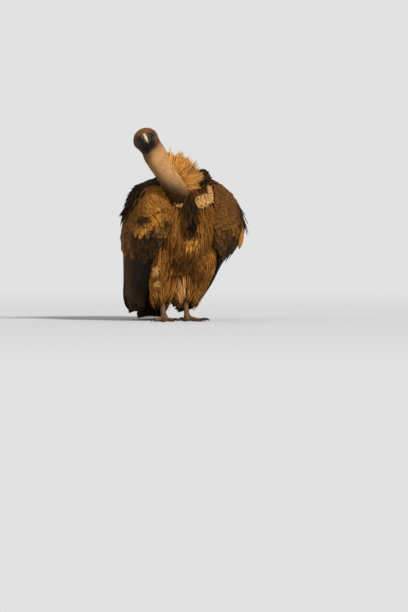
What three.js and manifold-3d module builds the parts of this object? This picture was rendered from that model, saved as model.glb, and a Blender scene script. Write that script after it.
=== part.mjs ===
// A griffon vulture standing on the ground, life size: body upright, wings loosely folded, neck leaning to
// its right and the head turned to look ahead. Millimetres, +Z up. The bird faces -Y and its left is +X.
// Each part is a loft through a few named sizes. Parts are cut by their neighbours with a thin gap.
import * as THREE from "three";
import { mergeVertices } from "three/addons/utils/BufferGeometryUtils.js";
import Module from "manifold-3d";

const wasm = await Module();
wasm.setup();

// Driving dimensions, in millimetres and degrees.
const GAP = 0.35; // clearance left between parts that touch
const FEATHER_GAP = 1; // and between the wing and the thigh under it
const LEAN = 0.06; // how far the body leans to its left, per millimetre of height
const STANCE = { halfWidth: 45, y: 50, toeOut: 14 }; // where the feet stand
const HEAD = { at: [-178, -150, 672], turn: -18, pitch: 5, roll: 23 };
const EYE = { forward: 8, side: 27, up: 6, radius: 9.5 };
const TAIL = { root: [0, 160, 232], tip: [-14, 352, 2.5], feathers: 8, halfSpread: 44, halfWidth: 20 };
const WING = {
  covertStep: 6, // how far the coverts stand proud of the flight feathers
  // how far out each wing hangs, keyed from the shoulder to the tip: the right one is tucked in tighter
  splay: { left: [-12, -8, 6, 8, 6, 8, 12, 14], right: [0, 6, -8, -8, 0, 2, 12, 24] },
};
const RUFF = {
  centre: [-19, -46, 524], teeth: 15, root: 18, from: -66, to: 68,
  reach: [92, 94, 96, 101, 107], // longest over the back of the neck
};
const TOES = {
  // length and half thickness of each toe, its heading (outwards is positive) and how far its claw reaches
  middle: { length: 92, thick: 9, heading: 2, claw: 30 },
  outer: { length: 64, thick: 8, heading: 36, claw: 25 },
  inner: { length: 58, thick: 8, heading: -34, claw: 29 },
  hind: { length: 36, thick: 8, heading: 176, claw: 28 },
};

// Vectors and interpolation.
const vec = (p) => new THREE.Vector3(...p);
const lean = ([x, y, z]) => [x + LEAN * z, y, z];
const curve = (points) => new THREE.CatmullRomCurve3(points.map(vec), false, "centripetal");
const radians = THREE.MathUtils.degToRad;

// A smooth value through evenly spaced keys, t from 0 to 1.
function along(keys, t) {
  const place = THREE.MathUtils.clamp(t, 0, 1) * (keys.length - 1);
  const first = Math.min(Math.floor(place), keys.length - 2);
  const at = (k) => keys[THREE.MathUtils.clamp(k, 0, keys.length - 1)];
  const u = place - first;
  const [a, b, c, d] = [at(first - 1), at(first), at(first + 1), at(first + 2)];
  const [bend, twist] = [2 * a - 5 * b + 4 * c - d, 3 * b - a - 3 * c + d];
  return 0.5 * (2 * b + (c - a) * u + bend * u * u + twist * u * u * u);
}

// Solids.
const joined = (solids) => solids.reduce((whole, next) => whole.add(next));
const cutBy = (solid, ...cutters) => cutters.reduce((left, cutter) => left.subtract(cutter), solid);

// A solid from points and triangles, turned to face outwards.
function solidOf(points, faces) {
  let volume = 0;
  for (let i = 0; i < faces.length; i += 3) {
    const [a, b, c] = [points[faces[i]], points[faces[i + 1]], points[faces[i + 2]]];
    volume += a.dot(new THREE.Vector3().crossVectors(b, c));
  }
  const triVerts = new Uint32Array(volume < 0 ? faces.slice().reverse() : faces);
  const vertProperties = new Float32Array(points.flatMap((p) => [p.x, p.y, p.z]));
  return new wasm.Manifold(new wasm.Mesh({ numProp: 3, vertProperties, triVerts }));
}

// A closed three.js geometry as a solid.
function solidFrom(geometry) {
  geometry.deleteAttribute("normal");
  geometry.deleteAttribute("uv");
  const merged = mergeVertices(geometry, 1e-3);
  const place = merged.attributes.position;
  const points = Array.from({ length: place.count }, (_, i) =>
    new THREE.Vector3().fromBufferAttribute(place, i));
  return solidOf(points, Array.from(merged.index.array));
}

// Skins a stack of rings, each the same number of points, and closes both ends with a fan.
function stacked(rings) {
  const sides = rings[0].length;
  const points = rings.flat();
  const faces = [];
  for (let r = 0; r + 1 < rings.length; r++)
    for (let s = 0; s < sides; s++) {
      const [a, b] = [r * sides + s, r * sides + ((s + 1) % sides)];
      faces.push(a, b, b + sides, a, b + sides, a + sides);
    }
  for (const end of [0, rings.length - 1]) {
    const centre = points.length;
    const middle = rings[end].reduce((sum, p) => sum.add(p), new THREE.Vector3());
    points.push(middle.divideScalar(sides));
    for (let s = 0; s < sides; s++) {
      const [a, b] = [end * sides + s, end * sides + ((s + 1) % sides)];
      faces.push(...(end ? [a, b, centre] : [b, a, centre]));
    }
  }
  return solidOf(points, faces);
}

// A loft along a curve. w, top and bottom are keyed half sizes; `up` says which way the top faces.
function limb(path, { w, top, bottom = top }, options = {}) {
  const { rings = 12, sides = 14, up = [0, 0, 1], grow = 0 } = options;
  const upward = vec(up);
  return stacked(Array.from({ length: rings + 1 }, (_, i) => {
    const t = i / rings;
    const tangent = path.getTangent(t);
    const side = new THREE.Vector3().crossVectors(upward, tangent).normalize();
    const out = new THREE.Vector3().crossVectors(tangent, side);
    const middle = path.getPoint(t);
    if (i === 0 || i === rings) middle.addScaledVector(tangent, i ? grow : -grow);
    return Array.from({ length: sides }, (_, s) => {
      const angle = (2 * Math.PI * s) / sides;
      const height = along(Math.sin(angle) > 0 ? top : bottom, t) + grow;
      return middle.clone()
        .addScaledVector(side, Math.cos(angle) * (along(w, t) + grow))
        .addScaledVector(out, Math.sin(angle) * height);
    });
  }));
}

// An ellipsoid with its own half sizes.
function ellipsoid(centre, [x, y, z], columns = 16, rows = 12) {
  const ball = new THREE.SphereGeometry(1, columns, rows).scale(x, y, z).translate(...centre);
  return solidFrom(ball);
}

// A big box with its lowest or highest face at `height`, to keep one side of a level.
function slabAbove(height) {
  const size = 3000;
  return solidFrom(new THREE.BoxGeometry(size, size, size).translate(0, 0, height + size / 2));
}

const GROUND = slabAbove(0);

// The trunk is a stack of level sections, from the top of the back down to the vent.
const TRUNK_TOP = 576;
const TRUNK_BOTTOM = 128;
const TRUNK = {
  halfWidth: [56, 92, 112, 121, 124, 121, 112, 98, 74, 30],
  front: [-12, -50, -86, -112, -126, -128, -114, -78, -8, 84],
  back: [70, 100, 126, 148, 166, 182, 196, 206, 206, 186],
};

function trunk(grow = 0) {
  const [levels, sides] = [12, 22];
  return stacked(Array.from({ length: levels + 1 }, (_, i) => {
    const t = (1 - Math.cos((Math.PI * i) / levels)) / 2;
    const rise = i === 0 ? grow : i === levels ? -grow : 0;
    const height = THREE.MathUtils.lerp(TRUNK_TOP, TRUNK_BOTTOM, t) + rise;
    const [front, back] = [along(TRUNK.front, t), along(TRUNK.back, t)];
    const rounding = Math.sqrt(Math.min(1, 0.12 + t / 0.08, 0.2 + (1 - t) / 0.08));
    return Array.from({ length: sides }, (_, s) => {
      const angle = (2 * Math.PI * s) / sides;
      const x = Math.cos(angle) * (along(TRUNK.halfWidth, t) * rounding + grow);
      const y = (front + back) / 2 + Math.sin(angle) * (((back - front) / 2) * rounding + grow);
      return vec(lean([x, y, height]));
    });
  }));
}

// The head's own frame: X ahead along the bill, Y to its left, Z up through the crown.
function headFrame() {
  const turn = new THREE.Matrix4().makeRotationZ(radians(HEAD.turn - 90));
  const pitch = new THREE.Matrix4().makeRotationY(radians(-HEAD.pitch));
  const roll = new THREE.Matrix4().makeRotationX(radians(HEAD.roll));
  return turn.multiply(pitch).multiply(roll).setPosition(...HEAD.at);
}
const HEAD_MATRIX = headFrame();
const inHead = (solid) => solid.transform(HEAD_MATRIX.elements);

function cranium(grow = 0) {
  const path = curve([[-66, 0, -14], [-40, 0, -4], [0, 0, 0], [20, 0, -1], [35, 0, -2]]);
  const sizes = {
    w: [28, 42, 47, 47, 43, 33, 25, 17],
    top: [25, 39, 44, 44, 39, 31, 23, 16],
    bottom: [28, 41, 45, 44, 39, 32, 25, 20],
  };
  return limb(path, sizes, { rings: 11, sides: 18, grow });
}

// The ridge over each eye that gives the bird its frown.
function brow(side) {
  const path = curve([[24, side * 21, 14], [8, side * 32, 17], [-12, side * 36, 17]]);
  return limb(path, { w: [2, 6, 4], top: [2, 5, 3] }, { rings: 4, sides: 6 });
}

function upperBill(grow = 0) {
  const path = curve([[26, 0, 5], [44, 0, 6], [62, 0, 3], [76, 0, -6], [81, 0, -25]]);
  const sizes = {
    w: [16, 15, 13.5, 12, 10, 8, 5.5, 1.2],
    top: [15, 15, 14, 13, 11.5, 9, 6, 1.5],
    bottom: [11, 11, 11, 10, 9, 7, 5, 1.5],
  };
  return limb(path, sizes, { rings: 9, sides: 10, grow });
}

function lowerBill(grow = 0) {
  const path = curve([[22, 0, -12], [44, 0, -10], [69, 0, -10]]);
  const sizes = { w: [15, 14, 12, 9, 3], top: [10, 9, 8, 6, 2], bottom: [11, 10, 8, 6, 2] };
  return limb(path, sizes, { rings: 5, sides: 8, grow });
}

const eyeball = (side, grow = 0) =>
  ellipsoid([EYE.forward, side * EYE.side, EYE.up], Array(3).fill(EYE.radius + grow), 10, 8);

// The hollow that the eye looks out of, open to the side and a little ahead.
const orbit = (side) =>
  ellipsoid([EYE.forward + 3, side * (EYE.side + 15), EYE.up - 1], [12, 9.5, 8.5], 8, 6);

function neck(grow = 0) {
  const bends = [[26, -6, 400], [-14, -56, 456], [-64, -86, 520], [-117, -108, 592], [-151, -116, 652]];
  const sizes = { w: [50, 46, 41, 38, 37, 40, 45, 44], top: [54, 50, 44, 41, 39, 40, 42, 42] };
  return limb(curve(bends), sizes, { rings: 12, sides: 16, up: [0, -1, 0.2], grow });
}

// The crop: a dark bare-looking bulge that hangs down the middle of the chest.
function crop() {
  const path = curve([[4, -86, 462], [2, -116, 412], [0, -130, 358], [0, -126, 302]]);
  const sizes = { w: [24, 28, 29, 24, 4], top: [20, 22, 18, 14, 4] };
  return limb(path, sizes, { rings: 8, sides: 10, up: [0, -1, 0] });
}

// The ruff: a fan of long pointed feathers, in two rows, standing round the back and left of the neck.
function ruff() {
  const outer = new THREE.Vector3(0.74, -0.24, 0.62).normalize(); // away from the neck
  const upNeck = new THREE.Vector3(-0.56, 0.34, 0.76);
  upNeck.addScaledVector(outer, -upNeck.dot(outer)).normalize();
  const rear = new THREE.Vector3().crossVectors(outer, upNeck).negate();
  const steps = 2 * RUFF.teeth;
  return stacked(Array.from({ length: steps + 1 }, (_, i) => {
    const angle = radians(THREE.MathUtils.lerp(RUFF.from, RUFF.to, i / steps));
    const radial = outer.clone().multiplyScalar(Math.cos(angle));
    radial.addScaledVector(upNeck, Math.sin(angle));
    const [front, back] = i % 2 ? [1, 0.66] : [0.82, 0.8]; // each row's tips lie in the other's gaps
    const reach = along(RUFF.reach, i / steps);
    const root = RUFF.root / reach;
    const section = [[root, 0], [0.55, 0], [front, 8], [0.64, 20], [back, 38], [0.42, 34], [root, 24]];
    return section.map(([share, depth]) =>
      vec(RUFF.centre).addScaledVector(radial, share * reach).addScaledVector(rear, depth));
  }));
}

// The wing is shaped by five lines that run from the shoulder (s = 0) to the wing tip (s = 1): from its
// front edge (u = 0) round its outer face to its edge along the back (u = 1). Written for the bird's left.
const WING_LINES = [
  [[88, -30, 506], [90, -62, 466], [84, -80, 405], [96, -76, 318],
    [138, -34, 222], [128, 62, 124], [106, 160, 40], [84, 296, 17]],
  [[112, -22, 510], [146, -60, 474], [168, -80, 405], [190, -54, 314],
    [156, 10, 216], [140, 100, 124], [114, 196, 48], [88, 306, 20]],
  [[118, 16, 520], [168, 20, 486], [212, 24, 415], [230, 44, 322],
    [190, 110, 235], [158, 160, 140], [120, 236, 62], [82, 322, 25]],
  [[100, 48, 536], [174, 92, 492], [210, 104, 424], [202, 132, 330],
    [172, 186, 240], [152, 232, 150], [124, 284, 72], [70, 334, 28]],
  [[58, 40, 552], [86, 104, 514], [86, 156, 430], [62, 194, 334],
    [38, 222, 240], [24, 258, 154], [20, 304, 82], [44, 344, 29]],
].map(curve);
// How closely the inner face follows the outer one, from the shoulder to the tip.
const WING_HOLLOW = [0.1, 0.1, 0.12, 0.24, 0.5, 0.7, 0.8, 0.85];

// A point on the wing's outer face and the ways that face looks and runs there.
function wingSpot(side, s, u) {
  const section = curve(WING_LINES.map((line) => line.getPoint(s).toArray()));
  const spot = section.getPoint(u);
  const across = section.getTangent(u);
  const run = WING_LINES[0].getTangent(s).add(WING_LINES[4].getTangent(s));
  const outward = new THREE.Vector3().crossVectors(run, across).normalize();
  spot.x += along(side > 0 ? WING.splay.left : WING.splay.right, s) * Math.sin(Math.PI * u);
  return { spot, outward, across };
}

// A layer of the wing from s = `from` to the tips, which lie at `tips` and step back by `notch` in between.
function wingLayer(side, { from, tips, notch, columns, levels, sink, thickness }, grow = 0) {
  const place = (p) => vec(lean([side * p.x, p.y, p.z]));
  return stacked(Array.from({ length: levels + 1 }, (_, i) => {
    const share = i / levels;
    const row = Array.from({ length: columns + 1 }, (_, k) => {
      const u = k / columns;
      const end = along(tips, u) - (k % 2 ? 0 : notch * share);
      const s = THREE.MathUtils.lerp(from, end, share) + (share === 1 ? grow / 500 : 0);
      const { spot, outward, across } = wingSpot(side, s, u);
      const overhang = (grow - sink / 2) * ((u === 1) - (u === 0));
      spot.addScaledVector(across, overhang).addScaledVector(outward, grow - sink);
      return { u, s, outward, spot };
    });
    const [first, last] = [row[0].spot, row[columns].spot];
    const inner = row.map(({ u, s, outward, spot }) => {
      const under = spot.clone().addScaledVector(outward, -2 * grow - thickness);
      const chord = first.clone().lerp(last, u).addScaledVector(outward, -2 * grow - thickness);
      return chord.lerp(under, along(WING_HOLLOW, s));
    });
    return [...row.map(({ spot }) => place(spot)), ...inner.reverse().map(place)];
  }));
}

const COVERTS = {
  from: 0, tips: [0.53, 0.54, 0.55, 0.58, 0.64], notch: 0.03, columns: 10, levels: 11, sink: 0, thickness: 20,
};
const FLIGHT = {
  from: 0.48, tips: [0.94, 1, 1, 0.98, 0.93], notch: 0.05, columns: 10, levels: 7, thickness: 2.5,
  sink: WING.covertStep,
};
const arm = (side, grow) => wingLayer(side, COVERTS, grow);
const flightFeathers = (side, grow) => wingLayer(side, FLIGHT, grow);

// The tail: a shallow fan of broad feathers with blunt tips, sloping down to the ground.
function tail(grow = 0) {
  const feathers = Array.from({ length: TAIL.feathers }, (_, i) => {
    const share = (2 * i) / (TAIL.feathers - 1) - 1;
    const sag = 10 * share * share;
    const root = lean([share * 22, TAIL.root[1] - sag, TAIL.root[2] - sag]);
    const end = [TAIL.tip[0] + share * TAIL.halfSpread, TAIL.tip[1] - 2 * sag, TAIL.tip[2] - 0.3 * sag];
    const tip = lean(end);
    const mid = root.map((x, k) => (x + tip[k]) / 2 + [0, 5, 5][k]);
    const widths = [0.5, 0.9, 1, 0.95, 0.35].map((x) => x * TAIL.halfWidth);
    const sizes = { w: widths, top: [5, 4.5, 3, 2, 1] };
    return limb(curve([root, mid, tip]), sizes, { rings: 3, sides: 4, up: [0, 0.75, 0.66], grow });
  });
  const [root, end] = [lean([0, 140, 250]), lean([-4, 236, 138])];
  const coverts = limb(curve([root, end]), { w: [66, 54, 42, 28], top: [40, 24, 12, 4] },
    { rings: 5, sides: 8, up: [0, 0.75, 0.66], grow });
  return joined([coverts, ...feathers]);
}

// The feathered thigh hangs from the body's side and narrows to the ankle.
const anklePoint = (side) => [side * (STANCE.halfWidth + 8), STANCE.y + 36, 136];

function thigh(side, grow = 0) {
  const path = curve([lean([side * 72, 26, 300]), lean([side * 78, 4, 226]), lean([side * 80, 34, 156]),
    lean([side * 86, 62, 84])]);
  const sizes = { w: [48, 55, 57, 52, 43, 32, 12], top: [60, 62, 56, 47, 38, 26, 9] };
  return limb(path, sizes, { rings: 9, sides: 14, up: [0, -1, 0], grow });
}

const footCentre = (side) => [side * STANCE.halfWidth, STANCE.y, 17];

function tarsus(side, grow = 0) {
  const [x, y, z] = footCentre(side);
  const path = curve([anklePoint(side), [x + side * 2, y + 28, 96], [x, y + 12, 52], [x, y + 2, z]]);
  const sizes = { w: [12, 9.5, 8.5, 9, 12], top: [13, 10, 8.5, 9, 12] };
  return limb(path, sizes, { rings: 7, sides: 8, up: [0, -1, 0], grow });
}

// A toe lies on the ground from its ball to its tip.
function toeLine(side, { length, heading, thick }) {
  const [x, y] = footCentre(side);
  const angle = radians(side * (heading + STANCE.toeOut));
  const at = (reach, height) => [x + Math.sin(angle) * reach, y - Math.cos(angle) * reach, height];
  const [ball, tip] = [at(length * 0.7, thick * 0.72), at(length, thick * 0.5)];
  return { at, path: curve([at(0, 15), at(length * 0.35, thick), ball, tip]) };
}

function foot(side, grow = 0) {
  const toes = Object.values(TOES).map((toe) => {
    const thick = (shares) => shares.map((share) => share * toe.thick);
    const [w, top] = [thick([1.15, 0.9, 0.95, 0.8, 0.85, 0.55]), thick([1, 1, 0.95, 0.85, 0.8, 0.6])];
    return limb(toeLine(side, toe).path, { w, top }, { rings: 5, sides: 6, grow });
  });
  const [x, y, z] = footCentre(side);
  const pad = ellipsoid([x, y - 2, z - 4], [15 + grow, 17 + grow, 15 + grow], 10, 6);
  return joined([pad, ...toes]).intersect(GROUND);
}

function claw(side, toe) {
  const { at } = toeLine(side, toe);
  const { length, thick, claw: reach } = toe;
  const path = curve([at(length - 5, thick * 0.7), at(length + reach * 0.45, thick * 1.15),
    at(length + reach * 0.85, 5.5), at(length + reach * 0.95, 1.5)]);
  return limb(path, { w: [5.2, 4.8, 3.6, 0.9], top: [5.2, 4.8, 3.4, 0.9] }, { rings: 4, sides: 5 });
}

// The finished parts, each cut by those that lie against it.
const parts = {};
const skull = cranium().add(brow(1)).add(brow(-1));
const bill = upperBill(GAP).add(lowerBill(GAP));
parts.head = inHead(cutBy(skull, eyeball(1, GAP), eyeball(-1, GAP), orbit(1), orbit(-1), bill));
parts.eye_left = inHead(eyeball(1));
parts.eye_right = inHead(eyeball(-1));
parts.bill_upper = inHead(upperBill());
parts.bill_lower = inHead(cutBy(lowerBill(), upperBill(GAP)));

parts.trunk = trunk();
const headCut = inHead(cranium(GAP));
const trunkCut = trunk(GAP);
parts.neck = cutBy(neck(), headCut, trunkCut);
const neckCut = neck(GAP);
parts.crop = cutBy(crop(), trunkCut, neckCut);
parts.ruff = cutBy(ruff(), trunkCut, neckCut);

const sides = { left: 1, right: -1 };
const tailCut = tail(GAP);
for (const [name, side] of Object.entries(sides)) {
  const armCut = arm(side, FEATHER_GAP);
  parts[`wing_${name}`] = cutBy(arm(side), trunkCut, neckCut);
  const vanes = flightFeathers(side).intersect(GROUND);
  parts[`flight_feathers_${name}`] = cutBy(vanes, trunkCut, armCut, tailCut);
  const vanesCut = flightFeathers(side, FEATHER_GAP);
  parts[`thigh_${name}`] = cutBy(thigh(side), trunkCut, armCut, arm(side), vanesCut);
  parts[`tarsus_${name}`] = cutBy(tarsus(side), thigh(side, GAP), foot(side, GAP));
  parts[`foot_${name}`] = foot(side);
  for (const [toe, sizes] of Object.entries(TOES))
    parts[`claw_${toe}_${name}`] = cutBy(claw(side, sizes), foot(side, GAP));
}
parts.tail = cutBy(tail(), trunkCut).intersect(GROUND);

// Colours and finishes of the parts, by the first word of each part's name.
const BROWN = { color: 0x6e4a24, roughness: 0.85 };
const BLACKISH = { color: 0x1d1610, roughness: 0.6 };
const SHANK = { color: 0x77604a, roughness: 0.7 };
const FINISH = {
  head: { color: 0x6b4524, roughness: 0.9 }, neck: { color: 0xc8a070, roughness: 0.95 },
  eye: { color: 0x1a0f08, roughness: 0.1 }, bill: { color: 0x4a3a2c, roughness: 0.4 },
  ruff: { color: 0xc08c4c, roughness: 0.9 }, crop: { color: 0x2c1c10, roughness: 0.9 },
  trunk: BROWN, wing: BROWN, thigh: BROWN, flight: BLACKISH, tail: BLACKISH,
  tarsus: SHANK, foot: SHANK, claw: { color: 0x241a14, roughness: 0.4 },
};

function meshOf(name, solid) {
  const { numProp, vertProperties, triVerts } = solid.getMesh();
  const geometry = new THREE.BufferGeometry();
  geometry.setAttribute("position", new THREE.BufferAttribute(vertProperties, numProp));
  geometry.setIndex(new THREE.BufferAttribute(triVerts, 1));
  geometry.computeVertexNormals();
  const material = new THREE.MeshStandardMaterial({ ...FINISH[name.split("_")[0]], metalness: 0 });
  const mesh = new THREE.Mesh(geometry, material);
  mesh.name = name;
  return mesh;
}

// The part's origin is on the ground, under the middle of its bounding box.
const bird = new THREE.Group();
bird.add(...Object.entries(parts).map(([name, solid]) => meshOf(name, solid)));
const middle = new THREE.Box3().setFromObject(bird).getCenter(new THREE.Vector3());
bird.position.set(-middle.x, -middle.y, 0);

export default bird;
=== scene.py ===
# Looks of the griffon vulture: one skin with down and feathers, bill, eyes and claws, fitted to the frame.
import math

import bmesh
import bpy
import numpy as np
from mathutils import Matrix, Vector, noise
from mathutils.bvhtree import BVHTree


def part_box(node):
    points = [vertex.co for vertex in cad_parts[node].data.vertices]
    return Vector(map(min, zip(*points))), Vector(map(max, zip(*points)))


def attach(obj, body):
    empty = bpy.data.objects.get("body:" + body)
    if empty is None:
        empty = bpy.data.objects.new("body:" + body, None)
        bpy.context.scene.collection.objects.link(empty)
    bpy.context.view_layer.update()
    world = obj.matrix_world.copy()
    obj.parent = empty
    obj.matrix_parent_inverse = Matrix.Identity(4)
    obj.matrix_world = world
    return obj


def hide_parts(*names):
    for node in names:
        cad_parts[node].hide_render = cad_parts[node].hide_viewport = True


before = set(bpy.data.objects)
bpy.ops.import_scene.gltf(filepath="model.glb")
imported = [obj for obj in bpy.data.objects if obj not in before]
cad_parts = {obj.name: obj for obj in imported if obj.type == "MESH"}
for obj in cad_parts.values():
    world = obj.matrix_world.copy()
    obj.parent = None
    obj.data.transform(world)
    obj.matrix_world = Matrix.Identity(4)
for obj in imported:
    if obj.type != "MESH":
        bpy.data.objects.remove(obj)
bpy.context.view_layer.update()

RANDOM = np.random.default_rng(20)
SIDES = {"left": 1, "right": -1}
MM = 0.001

# What the camera sees: the bird from a little to its right and from just above its own level.
VIEW = {"azimuth": -18, "elevation": 1.7, "distance": 20, "height": 2.264, "right": 0.0899, "up": 0.0555}
FLOOR_TINT = (0.72, 0.72, 0.72)
BACKDROP = (0.76, 0.76, 0.76)


def rgb(red, green, blue):
    """A colour as a screen shows it, from 0 to 255, turned into the linear values that shaders use."""
    return np.array([(x / 255) ** 2.2 for x in (red, green, blue)])


COLOURS = {
    "crown": rgb(136, 88, 44), "face": rgb(34, 25, 20), "cheek": rgb(118, 82, 50),
    "neck": rgb(244, 188, 126), "neck_low": rgb(84, 56, 32), "ruff": rgb(240, 160, 74),
    "ruff_tip": rgb(253, 198, 116), "breast": rgb(114, 70, 25), "breast_pale": rgb(186, 124, 58),
    "crop": rgb(52, 36, 23), "cream": rgb(250, 192, 118), "pink": rgb(212, 148, 134),
    "mantle": rgb(52, 37, 25), "back": rgb(96, 66, 37), "black": rgb(26, 19, 15),
    "gold": rgb(166, 108, 44), "russet": rgb(98, 63, 36), "covert": rgb(107, 70, 33),
    "covert_edge": rgb(168, 116, 60), "greater": rgb(46, 31, 19), "flight": rgb(42, 31, 23),
    # The lighter flight colour next is painted light on the flight feathers' lit strip, and also the colour
    # of their edges and the tail's.
    "flight_edge_and_painted_light": rgb(92, 68, 45), "trouser": rgb(146, 94, 40), "shank": rgb(124, 88, 54),
    "buff": rgb(206, 140, 80), "skin": rgb(56, 44, 37), "horn": rgb(232, 192, 136),
    "horn_dark": rgb(40, 32, 26), "cere": rgb(44, 36, 32), "claw": rgb(46, 38, 34), "iris": rgb(66, 40, 24),
}

# ---------------------------------------------------------------------------------------------------------
# Sums


def unit(vectors):
    return vectors / np.maximum(np.linalg.norm(vectors, axis=-1, keepdims=True), 1e-12)


def smooth(low, high, value):
    """0 below low, 1 above high and a soft step between them."""
    share = np.clip((value - low) / (high - low), 0, 1)
    return share * share * (3 - 2 * share)


def blob(points, place, radii, turn=0):
    """1 at a place, falling softly to 0 at radii along X, Y and Z, turned by some degrees about Y."""
    away = points - np.asarray(place)
    c, s = math.cos(math.radians(turn)), math.sin(math.radians(turn))
    across, rise = c * away[..., 0] - s * away[..., 2], s * away[..., 0] + c * away[..., 2]
    away = np.stack([across, away[..., 1], rise], -1)
    return 1 - smooth(0.5, 1, np.linalg.norm(away / np.asarray(radii), axis=-1))


def ripple(points, sizes, seed=0.0):
    """Smooth noise from about -1 to 1, with a grain of its own along X, Y and Z, in millimetres."""
    scaled = points / (np.asarray(sizes) * MM) + seed
    return np.array([noise.noise(place) for place in scaled.tolist()])


def mixed(first, second, share):
    """Some share of the way from one value to another. Either may be a colour's name."""
    first, second = (COLOURS[x] if isinstance(x, str) else np.asarray(x) for x in (first, second))
    share = np.asarray(share)[..., None]
    return first * (1 - share) + second * share


def washed(coat, colour, share):
    """The feathers' own colours and their edges', both mixed with one colour."""
    return [mixed(part, colour, share) for part in coat]


def plain(colour, count):
    return np.tile(COLOURS[colour], (count, 1))


def keyed(keys, steps):
    """A smooth value through evenly spaced keys, read at shares of the way from the first to the last."""
    keys = np.array([2 * keys[0] - keys[1], *keys, 2 * keys[-1] - keys[-2]])
    place = np.clip(steps, 0, 1) * (len(keys) - 3)
    first = np.minimum(place.astype(int), len(keys) - 4)
    a, b, c, d = (keys[first + k] for k in range(4))
    w = place - first
    bend, twist = 2 * a - 5 * b + 4 * c - d, 3 * b - a - 3 * c + d
    return 0.5 * (2 * b + (c - a) * w + bend * w * w + twist * w ** 3)


def curve(points, steps):
    """Points of the centripetal curve through a few points, at shares of the way along its keys."""
    points = np.asarray(points, float)
    whole = np.vstack([2 * points[0] - points[1], points, 2 * points[-1] - points[-2]])
    place = np.clip(steps, 0, 1) * (len(points) - 1)
    first = np.minimum(place.astype(int), len(points) - 2)
    w = (place - first)[:, None]
    a, b, c, d = (whole[first + k] for k in range(4))
    before, between, after = (np.linalg.norm(q - p, axis=1, keepdims=True) ** 0.5
                              for p, q in ((a, b), (b, c), (c, d)))
    leave = ((b - a) / before - (c - a) / (before + between)) * between + (c - b)
    reach = ((d - c) / after - (d - b) / (between + after)) * between + (c - b)
    square = -3 * b + 3 * c - 2 * leave - reach
    cube = 2 * b - 2 * c + leave + reach
    return b + leave * w + square * w * w + cube * w ** 3


def arcs(stations, steps):
    """Curves through the same few stations of many feathers."""
    return np.array([curve(line, steps) for line in np.stack(stations, 1)])


def squared(spine, up):
    """The direction nearest to `up` that is square to each spine, row by row."""
    ways = unit(np.gradient(spine, axis=1))
    return unit(up - ways * (up * ways).sum(-1, keepdims=True))


# ---------------------------------------------------------------------------------------------------------
# Places on the frame


def corners(node):
    low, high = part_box(node)
    return np.array(low), np.array(high)


def centre(node):
    low, high = corners(node)
    return low + (high - low) * 0.5


# The head's own axes: ahead along the bill, to its left, and up through the crown.
HEAD_TURN, HEAD_PITCH = math.radians(-108), math.radians(5)
AHEAD = np.array([math.cos(HEAD_PITCH) * math.cos(HEAD_TURN), math.cos(HEAD_PITCH) * math.sin(HEAD_TURN),
                  math.sin(HEAD_PITCH)])
LEFTWARD = unit(centre("eye_left") - centre("eye_right"))
UPWARD = unit(np.cross(AHEAD, LEFTWARD))
HEAD_AXES = np.stack([AHEAD, LEFTWARD, UPWARD])
HEAD_CENTRE = (centre("eye_left") + centre("eye_right")) / 2 - 8 * MM * AHEAD - 6 * MM * UPWARD

# Where the bird's own lines are counted from, and how far it leans to its left as it rises.
BIRD = HEAD_CENTRE - np.array([-178, -150, 672]) * MM
LEAN = 0.06

# From the head down the neck, and across the neck towards the throat.
NECK_WAY = unit(BIRD + np.array([-64, -86, 520]) * MM - HEAD_CENTRE)
THROAT_WAY = unit(-LEFTWARD + NECK_WAY * (LEFTWARD @ NECK_WAY))


def in_head(points):
    """Places in the head's own axes, in metres."""
    return (points - HEAD_CENTRE) @ HEAD_AXES.T


def from_head(points, way):
    """How far points lie from the head's middle along a way, in millimetres."""
    return (points - HEAD_CENTRE) @ way / MM


# ---------------------------------------------------------------------------------------------------------
# Surfaces


def mesh_object(name, points, faces):
    """A new object from arrays: its points, and triangles or quads as rows of point numbers."""
    mesh = bpy.data.meshes.new(name)
    mesh.vertices.add(len(points))
    mesh.vertices.foreach_set("co", np.asarray(points, np.float32).ravel())
    mesh.loops.add(faces.size)
    mesh.loops.foreach_set("vertex_index", faces.astype(np.int32).ravel())
    mesh.polygons.add(len(faces))
    mesh.polygons.foreach_set("loop_start", np.arange(len(faces), dtype=np.int32) * faces.shape[1])
    mesh.polygons.foreach_set("use_smooth", np.full(len(faces), True))
    mesh.update(calc_edges=True)
    made = bpy.data.objects.new(name, mesh)
    bpy.context.scene.collection.objects.link(made)
    return made


def add_piece(name, points, faces, material, slot, replaced=(), **values):
    """A piece of the visual model, with its material and some values for each point of its mesh."""
    made = mesh_object(name, points, faces)
    for key, own in values.items():
        kind, field = {1: ("FLOAT", "value"), 2: ("FLOAT_VECTOR", "vector")}[own.ndim]
        if key in ("tint", "trim"):
            kind, field = "FLOAT_COLOR", "color"
            own = np.concatenate([own, np.ones((len(own), 1))], axis=1)
        layer = made.data.attributes.new(key, kind, "POINT")
        layer.data.foreach_set(field, np.asarray(own, np.float32).ravel())
    made.data.materials.append(material)
    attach(made, "root")
    if replaced:
        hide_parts(*replaced)
    return made


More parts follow.
